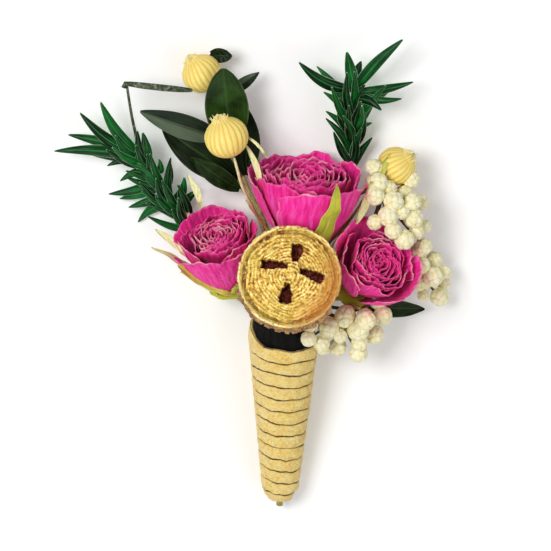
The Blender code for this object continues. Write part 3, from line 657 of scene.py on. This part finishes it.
# ---- Gilded pod ----
POD_FACE = Vector((10.9, 3.3, 36.4))
POD_AXIS = Vector((-0.05, 0.38, 0.92)).normalized()
POD_SLITS = (  # x and y of its middle on the lid, length, width, angle
    (-4.0, 3.2, 7.4, 2.2, 176),
    (2.0, 6.5, 5.2, 2.8, 84),
    (6.1, 0.3, 6.8, 2.4, -22),
    (-1.0, -4.8, 5.4, 3.2, 262),
)
POD_PROFILE = (  # distance from the axis, height over the lid's rim
    (0.0, 0.5), (3.0, 0.45), (6.0, 0.3), (9.0, 0.05), (11.4, -0.2), (12.5, -0.8), (13.2, -0.5), (13.8, 0.0),
    (14.2, -0.7), (13.9, -1.9), (13.2, -3.4), (11.8, -6.4), (8.2, -10.6), (4.6, -13.2), (2.4, -14.6),
    (1.6, -15.0), (0.0, -15.0),
)
STRAND = 0.92  # from one ring of fibre on the lid to the next


def slit_depth(x, y):
    """How far inside a ragged valve slit a point of the lid lies, from 0 outside to 1."""
    deepest = 0.0
    for mid_x, mid_y, length, width, angle in POD_SLITS:
        a = math.radians(angle)
        u = (x - mid_x) * math.cos(a) + (y - mid_y) * math.sin(a) + length / 2
        v = -(x - mid_x) * math.sin(a) + (y - mid_y) * math.cos(a)
        if not -1 < u < length + 1:
            continue
        half = width / 2 * (0.55 + 0.55 * ease(0.0, 0.6, u / length))
        half += 0.50 * wobble(u, v, angle, 1.1) + 0.22 * wobble(u, v, angle + 5, 0.45)
        ends = min(u, length - u) + 0.6 * wobble(v * 2, u, angle, 0.9)
        deepest = max(deepest, ease(-0.12, 0.35, min(half - abs(v), ends)))
    return deepest


def pod_profile():
    """The pod's outline from the middle of its lid to its foot, at even steps."""
    spans = [math.dist(a, b) for a, b in zip(POD_PROFILE, POD_PROFILE[1:])]
    total, steps, out = sum(spans), 150, []
    for k in range(steps + 1):
        left, i = total * k / steps, 0
        while i < len(spans) - 1 and left > spans[i]:
            left -= spans[i]
            i += 1
        t = min(left / spans[i], 1.0)
        (r0, z0), (r1, z1) = POD_PROFILE[i], POD_PROFILE[i + 1]
        out.append((r0 + (r1 - r0) * t, z0 + (z1 - z0) * t))
    return out


def pod_point(r, a, level):
    across, front, along = basis(POD_AXIS)
    return POD_FACE + across * (r * math.cos(a)) - front * (r * math.sin(a)) + along * level


def seed_pod():
    form = Form("gilded_pod", GILT)
    outline, steps = pod_profile(), 300

    def point(j, k):
        r, z = outline[j]
        on_lid = r < 12.2 and z > -1.0
        a = TAU * k / steps
        x, y = r * math.cos(a), r * math.sin(a)
        bend = 0.9 * wobble(x, y, 3.0, 6.0) + 0.25 * wobble(x, y, 9.0, 1.8)
        strand = 1 - 2 * abs(math.sin(math.pi * (r + bend) / STRAND)) ** 0.8
        wide = max(r, 1)
        broken = 0.75 + 0.9 * wobble(1.1 * r, 3.1 * math.cos(a) * wide / 6, 3.1 * math.sin(a) * wide / 6)
        rough = wobble(x, y, z, 0.4)
        height = -0.15 * strand * broken + 0.15 * rough + 0.16 * wobble(x, y, 4.0, 0.9)
        inside = slit_depth(x, y) if on_lid else 0.0
        if not on_lid and z < -1.5:
            height = 0.14 * ring_wobble(7, a, z * 0.5) * r / 6 + 0.12 * rough
        elif not on_lid:
            height += 0.10 * math.sin(37 * a) * wobble(x, y, 2.0, 1.5)
        if z < -14:
            height *= 0.2
        level = z + (height if on_lid else 0.6 * height) - inside * (3.2 + 1.3 * rough)
        out = r if on_lid else max(r + height, 0.0)
        # The relief value paints light and shade: darker in the furrows and the groove inside the rim,
        # lighter on the ridges and the rim's lip.
        relief = 0.5 + 1.35 * height
        relief += 0.22 if 13.3 < r < 14.1 and z > -1.0 else 0.0
        relief -= 0.25 if 12.2 < r < 13.0 and z > -1.2 else 0.0
        # Painted shade towards the right of the lid's outer part, and over the pod's lower body.
        right = math.cos(a + math.radians(25))
        shade = 0.75 * ease(0.2, 1.0, right) * ease(6, 12, r) + (0.25 if z < -1.5 else 0.0)
        return pod_point(out, a, level), relief, inside, shade

    form.sheet(len(outline) - 1, steps, point, "relief slit shade", wrap=True)
    pod_frill(form)
    form.build(["seed_pod"])


def pod_frill(form):
    """Ragged brown scales in two rows under the lower rim."""
    rng = random.Random(5)
    per_row, tall, wide = 15, 6, 5
    along = basis(POD_AXIS)[2]
    for k in range(2 * per_row):
        middle = math.radians(195 + 120 * (k % per_row) / (per_row - 1) + rng.uniform(-4, 4))
        top = -1.6 - 2.4 * (k // per_row) + rng.uniform(-0.4, 0.4)
        spread = [rng.uniform(0.5, 1.0) for _ in range(tall + 1)]

        def scale(j, i):
            s, under = j / tall, i >= wide
            half = (0.07 + 0.06 * (k * 0.382 % 1)) * (1 - 0.55 * s * s)
            a = middle + half * ((2 * wide - 1 - i if under else i) / 2 - 1)
            r = 14.1 - 0.20 * abs(top) + 1.7 * s * spread[j] + 0.35 * wobble(9 * a, 3 * s, k)
            place = pod_point(r, a, top - (0.7 + 1.9 * (k * 0.618 % 1)) * s)
            return (place - along * 0.16 if under else place,)

        form.sheet(tall, 2 * wide, scale, wrap=True, capped=True, husk=1.0)


# ---- Everlasting buds ----
BUDS = (
    ("bud_top", (-13.4, 54.9, 7.5), (-0.573, 0.797, 0.178), 5.5),
    ("bud_left", (-6.4, 38.6, 18.0), (-0.335, 0.93, 0.15), 6.0),
    ("bud_right", (40.9, 29.5, 12.0), (0.72, 0.618, 0.308), 5.4),
)


def everlasting_bud(name, centre, axis, radius):
    """A ribbed paper globe, open at its tip, with a few bristles there."""
    across, front, along = basis(axis)
    centre = Vector(centre)
    form = Form(name + "_paper", BUD)
    ribs, steps, tall = 21, 210, 64
    rng = random.Random(name)
    lift = [rng.uniform(0.4, 1.0) for _ in range(ribs)]

    def point(j, k):
        s, a = j / tall, TAU * k / steps
        polar = math.pi * (1 - s)
        twist = a + 0.35 * s * s
        wave = abs(math.cos(ribs * twist / 2)) ** 0.7
        flat = math.sin(polar)
        swell = 1 + 0.055 * (wave - 0.6) * min(1.0, 2.2 * flat) + 0.035 * ring_wobble(3, a, 4 * s)
        r = radius * flat * swell
        z = radius * 0.95 * math.cos(polar)
        if s > 0.86:
            spike = (s - 0.86) / 0.14
            z += radius * 0.30 * spike * lift[int(ribs * (twist % TAU) / TAU) % ribs] * wave
            r += radius * 0.07 * spike * (1 - spike) * 4
        # The rib value, wave, also paints shade in the furrows and lighter paper on the ribs.
        return centre + turned(across, front, a) * r + along * z, wave, s, k / steps

    form.sheet(tall, steps, point, "rib tip around", wrap=True)
    count = 17 if name == "bud_left" else 9
    for k in range(count):
        way = turned(across, front, TAU * k / count + rng.uniform(-0.2, 0.2))
        spread = rng.uniform(0.10, 0.42)
        start = centre + along * radius * (0.98 - 0.30 * spread) + way * radius * spread
        end = start + along * rng.uniform(0.9, 2.0) + way * rng.uniform(0.0, 0.8)
        form.tube([start, start.lerp(end, 0.5) + along * 0.15, end], 0.24, 0.05, 6, tip=1.0, rib=0.8)
    form.build([name])


# ---- Rice flower ----
RICE_SPRIGS = {  # the stem's route, then each head's place and radius
    "rice_flower_upper": (
        (OUTER_RING, 325, 0.55, [(20, -7, 3.5), (29.5, 3, 2.0), (35, 13, 3.0)], (37, 20, 10), (0.2, 0.3, 1)),
        ((34.6, 22.8, 21, 2.4), (35.6, 26.0, 19, 2.4), (38.4, 24.0, 17.5, 2.2), (39.8, 21.2, 21, 2.5),
         (38.3, 17.2, 22, 2.5), (42.0, 18.2, 20, 2.1), (45.4, 15.8, 18, 2.5), (43.2, 22.2, 15, 2.1),
         (42.8, 10.6, 22, 2.5), (47.8, 19.2, 12, 2.0), (39.6, 13.4, 23.5, 2.1), (48.4, 12.6, 13, 2.0),
         (48.6, 7.2, 14.5, 2.1)),
    ),
    "rice_flower_right": (
        (OUTER_RING, 345, 0.55, [(19.3, -10.6, 7.0), (29, -10, 1.8), (40, -6, 2.2)],
         (48, -2.5, 6), (0.6, 0.3, 1)),
        ((48.3, 1.6, 14, 2.0), (51.4, -1.9, 13, 2.5), (47.6, -4.0, 12, 1.9), (52.0, 2.2, 8.5, 2.0),
         (54.9, -1.6, 8, 1.8), (53.7, -8.9, 7, 2.4), (49.0, -8.2, 8.5, 1.5), (55.0, -5.6, 4, 1.7)),
    ),
    "rice_flower_lower": (
        (OUTER_RING, 38, 0.55, [(19.5, -11.5, 17.5)], (24.5, -13, 15.0), (1, -0.4, -0.1)),
        ((26.8, -10.8, 21.5, 2.4), (32.2, -11.9, 24, 2.5), (26.3, -11.6, 22, 2.5), (21.9, -14.2, 23, 2.6),
         (30.2, -15.2, 22, 2.7), (35.0, -17.8, 16, 2.4), (37.2, -12.4, 16, 2.4), (24.6, -21.0, 17.5, 2.2),
         (30.5, -23.0, 17, 2.3), (32.0, -11.4, 20, 1.9), (20.0, -18.6, 24, 2.0), (16.4, -16.8, 25.6, 2.0)),
    ),
}
BRACTS = 16
EXTRA_HEAD_AWAY = 4.1  # from the middle of a CAD head to that of an extra one beside it
EXTRA_HEAD_RADIUS = 2.1


def flower_head(form, centre, radius, toward, seed):
    """A round head of overlapping papery bracts."""
    across, front, along = basis(toward, Vector((0.31, 0.93, 0.2)))
    rng = random.Random(seed)
    bracts = []
    for k in range(BRACTS):
        z = 1 - 1.55 * (k + 0.3) / BRACTS
        a = 2.4 * k + rng.uniform(-0.25, 0.25)
        flat = math.sqrt(max(0.0, 1 - z * z))
        bracts.append(Vector((flat * math.cos(a), flat * math.sin(a), z)))
    tall, steps = 26, 34

    def point(j, k):
        polar, a = math.pi * j / tall, TAU * k / steps
        way = Vector((math.sin(polar) * math.cos(a), math.sin(polar) * math.sin(a), math.cos(polar)))
        nearest, next_nearest = sorted((way - b).length for b in bracts)[:2]
        groove = 1 - ease(0.0, 0.16, next_nearest - nearest)
        rough = noise.noise(way * 3 + Vector((seed, 0, 0)))
        r = radius * (1.04 - 0.13 * groove - 0.10 * nearest + 0.03 * rough)
        place = centre + (across * way.x + front * way.y + along * way.z) * r
        # The crease value is painted shade, in the grooves between bracts and towards the head's underside.
        return place, 0.75 * groove + 0.3 * ease(0.2, -0.9, way.z)

    form.sheet(tall, steps, point, "painted_crease_shade", wrap=True)


def crowded(name, heads):
    """The CAD's heads, with an extra one beside each where there is room for it."""
    rng = random.Random(name)
    crowd = list(heads)
    right_limit = 47.5 if name == "rice_flower_upper" else 54.5
    for x, y, z, _ in heads:
        turn = rng.uniform(0, TAU)
        away = turned(Vector((1, 0, 0)), Vector((0, 1, 0)), turn) * EXTRA_HEAD_AWAY
        near = Vector((x, y, z - rng.uniform(0.4, 3.0))) + away
        room = min((near - Vector(h[:3])).length - h[3] for h in crowd)
        if room > 1.5 and near.x < right_limit and near.z > 3 and abs(near.y - 3) < 27:
            crowd.append((*near, min(room + 0.25, EXTRA_HEAD_RADIUS)))
    return crowd


def rice_flower(name, trunk, heads):
    form = Form(name + "_heads", RICE)
    stem = stem_route(*trunk)
    form.tube(stem, 0.6, 0.5, stalk=1.0)
    fork = stem[-1]
    middle = sum((Vector(h[:3]) for h in heads), Vector()) / len(heads)
    for i, (x, y, z, radius) in enumerate(crowded(name, heads)):
        centre = Vector((x, y, z))
        half_way = fork.lerp(centre, 0.5) + Vector((0, 0, 0.8))
        stalk = smooth_route([fork, half_way, centre], half_way - fork, centre - half_way, 1.2)
        form.tube(stalk, 0.36, 0.34, 8, stalk=1.0)
        toward = (centre - fork).normalized() + (centre - middle).normalized() * 0.5 + Vector((0, 0, 0.7))
        flower_head(form, centre, radius * 1.14, toward, i + len(name))
    form.build([name])


# ---- Ruscus ----
RUSCUS_LEAVES = (  # base, tip, width, bow, how pointed, how light (a low value paints the leaf as in shade); the top one lies flatter than the CAD's
    ("ruscus_leaf_upright", (-5.6, 37.0, 8.0), (-7.3, 57.4, 14.5), 12.2, 1.2, 0.55, 1.0),
    ("ruscus_leaf_top", (-11.0, 59.9, 4.8), (-4.9, 59.9, 8.0), 4.2, 0.4, 0.55, 0.12),
    ("ruscus_leaf_small", (-6.3, 48.8, 5.6), (2.6, 55.4, 8.0), 3.4, 0.4, 0.8, 1.0),
    ("ruscus_leaf_left", (-7.2, 36.6, 7.2), (-30.5, 45.0, 11.6), 7.0, 1.5, 0.8, 0.8),
    ("ruscus_leaf_dark", (-3.4, 24.4, 4.2), (-24.4, 39.6, 7.5), 10.5, 0.8, 0.8, 0.12),
    ("ruscus_leaf_olive", (-3.0, 21.6, 4.9), (-16.4, 31.8, 11.0), 5.6, 1.5, 0.8, 0.6),
    ("ruscus_leaf_back", (-1.2, 25.6, 4.6), (-1.0, 45.0, 6.0), 8.0, 0.5, 0.8, 0.12),
)
PALE_LEAVES = ("ruscus_leaf_left", "ruscus_leaf_small")
TOP_LEAF_STALK = [(-8.1, 55.2, 4.0), (-9.9, 57.8, 4.0), (-11.0, 59.9, 4.8)]
LOWER_LEAF_BASE, LOWER_LEAF_TIP = Vector((33.5, -12.6, 4.6)), (49.6, -12.8, 5.2)
LOWER_LEAF_STALK = [(19.5, -11.0, 11.8), (26, -12.6, 5.8)]


def ruscus():
    for seed, (name, base, tip, width, bow, power, tone) in enumerate(RUSCUS_LEAVES):
        form = Form(name + "_blade", RUSCUS_PALE if name in PALE_LEAVES else RUSCUS)
        if name == "ruscus_leaf_top":
            form.tube(smooth_route(TOP_LEAF_STALK, (-0.3, 1, 0), (-0.2, 1, 0.4), 0.6), 0.35)
        leaf(form, base, tip, width, bow, 0.12, seed, tall=44, wide=24, crimp=0.3, power=power, tone=tone)
        form.build([name])


def lower_leaf():
    form = Form("lower_leaf_and_stalk", RUSCUS)
    leaf(form, LOWER_LEAF_BASE, LOWER_LEAF_TIP, 5.0, 0.5, 0.12, 50, tall=40, wide=18, crimp=0.3, tone=0.3)
    end = LOWER_LEAF_BASE + Vector((1.2, 0, 0))
    form.tube(stem_route(OUTER_RING, 8, 0.6, LOWER_LEAF_STALK, end, (1, 0, 0)), 0.5)
    form.build(["lower_leaf"])


# ---- Rosemary ----
SPRIGS = {  # the stem's route, each leaf's base and tip, and between which shares of the stem extra ones grow
    "rosemary_left": (
        (INNER_RING, 210, 0.0, [(0.6, -5.6, 4.7), (-9, 4.4, 1.0), (-17.5, 11, 1.8), (-25, 22.5, 5)],
         (-32.5, 34, 8), (-0.5, 0.8, 0.2)),
        (((-31, 32, 8), (-41.5, 47.5, 12)), ((-31, 32, 8), (-47.5, 44, 9)),
         ((-31, 31, 7.4), (-51.0, 37.5, 7)), ((-31, 31, 7.4), (-54.9, 33.0, 8)),
         ((-30, 30, 7), (-45.5, 31.5, 4)), ((-29.5, 29, 7), (-40, 29, 9)),
         ((-29, 28, 7), (-30.0, 38.5, 10)), ((-27.5, 26, 6.5), (-25.5, 31, 9.5)),
         ((-28, 27, 6.4), (-36.5, 24.5, 8)), ((-26, 24, 5.6), (-40, 20.2, 5)),
         ((-25, 22.5, 5.2), (-37.0, 18.4, 2.5)), ((-23, 19.5, 4.2), (-34.5, 16.0, 3)),
         ((-24, 21, 5), (-22.4, 30, 9)), ((-21.5, 17, 3.6), (-32, 11.5, 1.5)),
         ((-22, 18, 4), (-18.5, 25.5, 8)), ((-20, 15, 3), (-14.8, 21.2, 4))),
        30, 0.53, 0.97,
    ),
    "rosemary_right": (
        (INNER_RING, 330, 0.0,
         [(15, -5, 5.5), (20.5, 3, 2.6), (25.6, 13, 1.8), (28.4, 24, 2.4), (28.6, 34, 4.5)],
         (29.2, 51.5, 10), (0.05, 1, 0.3)),
        (((29, 50.5, 10), (13.6, 58.5, 11)), ((29, 50.5, 10), (26.9, 61.5, 12)),
         ((29, 50.5, 10), (31, 58.5, 8)), ((29, 50.5, 10), (42.3, 65.2, 14)),
         ((29.1, 50, 10), (45.5, 52.8, 10)), ((29.1, 50, 10), (42.2, 48.6, 13)),
         ((29, 48, 9), (36.4, 45.5, 14)), ((28.9, 47, 9), (39.8, 50.5, 6)),
         ((28.6, 42, 7.5), (18.6, 57, 8)), ((28.6, 40, 7), (20.5, 50.0, 10)),
         ((28.5, 36, 5.6), (21.2, 44.2, 7)), ((28.7, 44, 8), (32, 52.5, 13)),
         ((28.6, 38, 6.4), (34.5, 46.5, 9)), ((28.6, 35, 5.4), (34.2, 41, 8)),
         ((28.6, 36, 5.8), (27.5, 46.2, 10.5))),
        16, 0.66, 0.90,
    ),
}
BROKEN_SHOOT = [(-31, 31.5, 7.6), (-31.6, 36, 9), (-32.9, 44, 12), (-34.0, 53.0, 14.5)]
BROKEN_SHOOT_TIP = (-15.8, 51.2, 14.8)


def rosemary(name, trunk, leaves, extra, low, high):
    """A sprig: the CAD's leaves, with smaller ones between them along the stem."""
    form = Form(name + "_leaves", ROSEMARY)
    rng = random.Random(name)
    stem = stem_route(*trunk)
    last = len(stem) - 1
    form.tube(stem, 0.8, 0.6)
    for i, (base, tip) in enumerate(leaves):
        bow = rng.uniform(0.03, 0.10) * (Vector(tip) - Vector(base)).length
        width = 3.4 if i < 4 else rng.uniform(2.3, 3.0)
        leaf(form, base, tip, width, bow, -0.20, i, tall=28, wide=8, power=0.75,
             sway=rng.uniform(-1.8, 1.8), widest=0.75, tone=rng.choice((0.1, 0.5, 1.0)))
    for k in range(extra):
        share = low + (high - low) * k / extra
        step = int(share * last)
        at = stem[step]
        way = (stem[min(step + 6, last)] - at if share < 0.93 else stem[-1] - stem[-4]).normalized()
        across, front, _ = basis(way, Vector((0.9, 0.3, 0.1)))
        a = 2.4 * k
        out = across * math.cos(a) + front * (0.30 + 0.70 * abs(math.sin(a)))
        length = rng.uniform(10, 17)
        tip = at + (way * 0.92 + out * rng.uniform(0.22, 0.62)).normalized() * length
        tip.z = max(tip.z, 1.2)
        leaf(form, at, tip, 2.3, rng.uniform(0.4, 1.2), -0.16, 100 + k, skin=0.18, tall=24, wide=8,
             power=0.75, sway=rng.uniform(-1.4, 1.4), widest=0.75, tone=rng.choice((0.0, 0.15, 0.5, 1.0)))
    if name == "rosemary_left":
        broken_shoot(form)
    form.build([name])


def broken_shoot(form):
    """The dry shoot that is snapped over at its knee."""
    form.tube(smooth_route(BROKEN_SHOOT, (-0.1, 1, 0.3), (-0.1, 1, 0.3), 1.5), 0.48, 0.36, dry=1.0)
    knee = Vector(BROKEN_SHOOT[-1])
    leaf(form, knee + Vector((-0.5, 0.1, 0)), BROKEN_SHOOT_TIP, 1.9, 0.8, -0.1, 77, skin=0.25, tall=30,
         power=0.3, dry=1.0, crimp=0.25)
    bend = [knee + Vector(v) for v in ((-0.8, -1.0, 0), (-0.4, 0.1, 0.2), (1.6, 0.1, 0.2))]
    form.tube(bend, 0.75, 0.6, dry=0.9)


# ---- Ribbon, tape and the stem inside them ----
def round_strip(k, wide):
    """Whether step k round a strip is on its outer face, and its share of the strip's width."""
    outer = k < wide
    return outer, (k if outer else 2 * wide - 1 - k) / (wide - 1)


def suede_ribbon():
    """The wound strip, plump between its seams, with a rough napped surface."""
    form = Form("wound_ribbon", SUEDE)
    per_turn, wide = 90, 16
    pitch = 1.0 / (RIBBON_TURNS + 1)
    strip = pitch - 0.04 / HANDLE_LENGTH

    def wound(i, k):
        outer, t = round_strip(k, wide)
        turn = i / per_turn
        angle = math.radians(200) - TAU * turn
        share = max(1.0 - pitch * turn - strip * t, 0.008 * (1 - t))
        radius = handle_radius(share) - 1.5 * ease(0.07, -0.01, share)
        u = abs(2 * t - 1)
        if outer:
            radius += 0.10 - 0.62 * u ** 10
            radius += 0.22 * ring_wobble(5, angle, share * 30)
            radius += 0.10 * wobble(angle * 12, share * 260, 1, 0.8)
        else:
            radius -= RIBBON_THICKNESS
        share += 0.012 * ring_wobble(2, angle, share * 14)
        share += 0.003 * ring_wobble(9, angle, share * 60)
        # The edge value carries painted seam shade at the strip's margins, and painted shade over the whole
        # inner face.
        return handle_point(share, radius, angle), u if outer else 1.0

    stations = int((RIBBON_TURNS + 0.95) * per_turn)
    form.sheet(stations, 2 * wide, wound, "edge", wrap=True, capped=True)
    ribbon_cuff(form)
    form.build(["suede_ribbon"])


def ribbon_cuff(form):
    """The ribbon's first edge, which stands up at the upper left."""
    steps, wide = 60, 12

    def point(i, k):
        outer, t = round_strip(k, wide)
        s = i / steps
        up = 4.6 * ease(0, 0.3, s) * ease(1.0, 0.45, s) * t + 0.25 * t * wobble(14 * s, 3, 0)
        radius = handle_radius(1.0) + (0.0 if outer else -0.8) - 0.25 * t + 0.2 * wobble(6 * s, 3 * t, outer)
        radius -= 0.3 if t > 0.99 else 0.0
        # Painted seam shade along the cuff's outer top edge.
        edge = (0.96 if k == wide - 1 else 0.82) if outer else 0.5
        return handle_point(0.975 + up / HANDLE_LENGTH, radius, math.radians(262 - 150 * s)), edge

    form.sheet(steps, 2 * wide, point, "edge", wrap=True, capped=True)


def floral_tape():
    """The taped sleeve: overlapping, crinkled turns with a torn upper edge."""
    form = Form("tape_sleeve", TAPE)
    steps, tall, foot = 120, 90, 0.045
    around = 2 * tall + 2  # steps up the outside, over the torn edge, down the inside and back

    def point(j, k):
        inner = tall < j < around
        level = around - 1 - j if inner else j % around
        a = TAU * k / steps
        torn = 0.35 * ring_wobble(4, a, 2.0) + 0.2 * ring_wobble(15, a, 0)
        share = foot + (1.0 + (TAPE_COLLAR + torn) / HANDLE_LENGTH - foot) * level / tall
        r = handle_radius(min(share, 1.0)) - TAPE_OUTSIDE - (TAPE_THICKNESS if inner else 0.0)
        if share > 0.99:
            high = (share - 0.99) * HANDLE_LENGTH
            r += 0.28 * ((high / 2.1 + a / TAU) % 1.0) - 0.2 + 0.30 * ring_wobble(7, a, high / 1.5)
        return (handle_point(share, r, a),)

    form.sheet(around, steps, point, wrap=True)
    form.build(["floral_tape"])


def centre_stem():
    """The centre rose's stem, whose cut end shows below the ribbon."""
    rose = ROSES[0]
    form = Form("rose_centre_stem_bark", STEM)
    end = rose.base - rose.axis * 6.225
    low, high, *rest = stem_route(MIDDLE, 0, -0.055, [], end, rose.axis)
    route = [*[low.lerp(high, k / 30) for k in range(30)], high, *rest]
    rows = tube_rows(route, 0.95, 0.85, 14)
    for i, row in enumerate(rows[1:-1]):
        for k, point in enumerate(row):
            row[k] = point.lerp(route[i], 0.12 * wobble(k, i * 0.4, 3, 1.3))
    form.grid(rows, wrap=True)
    form.build(["rose_centre_stem"])


# ---- Assembly ----
def dress_cad_nodes():
    """The stems and the wire that keep their CAD shape, each with a finished material; the stems are rounded.
    """
    finishes = {"binding_wire": WIRE, "bud_left_stem": STRAW, "bud_right_stem": STRAW}
    for name, node in frame["nodes"].items():
        if node.hide_render:
            continue
        node.data.materials.clear()
        node.data.materials.append(finishes.get(name, STEM))
        weld = node.modifiers.new("weld", "WELD")
        weld.merge_threshold = 0.00001
        if name.endswith("_stem"):
            smooth = node.modifiers.new("smooth", "SUBSURF")
            smooth.levels = smooth.render_levels = 2


for number, rose in enumerate(ROSES):
    rose_bloom(rose, number)
    calyx(rose, number)
seed_pod()
for bud in BUDS:
    everlasting_bud(*bud)
for name, (trunk, heads) in RICE_SPRIGS.items():
    rice_flower(name, trunk, heads)
ruscus()
lower_leaf()
for name, sprig in SPRIGS.items():
    rosemary(name, *sprig)
suede_ribbon()
floral_tape()
centre_stem()
dress_cad_nodes()


# ---- Floor, lights and camera ----
LAMPS = (  # name, place in metres, size, power
    ("key", (-0.35, 0.25, 0.75), 0.35, 4.3),
    ("fill", (0.55, -0.25, 0.60), 0.6, 1.55),
    ("low", (-0.2, -0.65, 0.35), 0.4, 0.8),
)
WORLD_LIGHT = 0.36
CAMERA_TILT = math.radians(12)
CAMERA_AIM = (Vector((7.14, -0.86, 16.0)) + REST) * MM
CAMERA_AWAY = 0.8
VIEW_WIDTH = 0.15428


def floor():
    """A pale floor that keeps the shadow. To the camera it is white where no shadow falls."""
    s = Shader("floor", 0.9, Specular_IOR_Level=0.0, Emission_Color=(1, 1, 1, 1))
    seen = s.new("ShaderNodeLightPath").outputs["Is Camera Ray"]
    s.colour(s.mix(seen, (0.85, 0.85, 0.85), (1.0, 1.0, 1.0)))
    s.link(s.math("MULTIPLY", seen, 0.07), s.bsdf.inputs["Emission Strength"])
    mesh = bpy.data.meshes.new("floor")
    mesh.from_pydata([(-2, -2, 0), (2, -2, 0), (2, 2, 0), (-2, 2, 0)], [], [(0, 1, 2, 3)])
    mesh.materials.append(s.material)
    new_object("floor", mesh)


def world():
    """Even light, which the camera sees as white, straight or by reflection."""
    made = bpy.data.worlds.new("studio")
    bpy.context.scene.world = made
    made.use_nodes = True
    nodes, links = made.node_tree.nodes, made.node_tree.links
    light, white = nodes["Background"], nodes.new("ShaderNodeBackground")
    for background, strength in ((light, WORLD_LIGHT), (white, 1.0)):
        background.inputs["Color"].default_value = (1, 1, 1, 1)
        background.inputs["Strength"].default_value = strength
    path = nodes.new("ShaderNodeLightPath")
    seen = path.outputs["Is Camera Ray"]
    for kind in ("Is Glossy Ray", "Is Transmission Ray"):
        either = nodes.new("ShaderNodeMath")
        either.operation = "MAXIMUM"
        links.new(seen, either.inputs[0])
        links.new(path.outputs[kind], either.inputs[1])
        seen = either.outputs[0]
    mix = nodes.new("ShaderNodeMixShader")
    for source, target in zip((seen, light.outputs[0], white.outputs[0]), mix.inputs):
        links.new(source, target)
    links.new(mix.outputs[0], nodes["World Output"].inputs["Surface"])


def lamps():
    for name, place, size, power in LAMPS:
        lamp = bpy.data.lights.new(name, "AREA")
        lamp.size = size
        lamp.energy = power
        holder = new_object(name, lamp)
        holder.location = place
        holder.rotation_mode = "QUATERNION"
        holder.rotation_quaternion = (Vector((0, 0, 0.02)) - Vector(place)).to_track_quat("-Z", "Y")


def camera():
    back = Vector((0, math.sin(CAMERA_TILT), math.cos(CAMERA_TILT)))
    up = Vector((0, math.cos(CAMERA_TILT), -math.sin(CAMERA_TILT)))
    data = bpy.data.cameras.new("camera")
    data.lens = data.sensor_width * CAMERA_AWAY / VIEW_WIDTH
    data.clip_start, data.clip_end = 0.05, 20
    holder = new_object("camera", data)
    turn = Matrix((up.cross(back), up, back)).transposed().to_4x4()
    holder.matrix_world = Matrix.Translation(CAMERA_AIM + back * CAMERA_AWAY) @ turn
    bpy.context.scene.camera = holder


floor()
world()
lamps()
camera()
bpy.context.scene.view_settings.view_transform = "Standard"
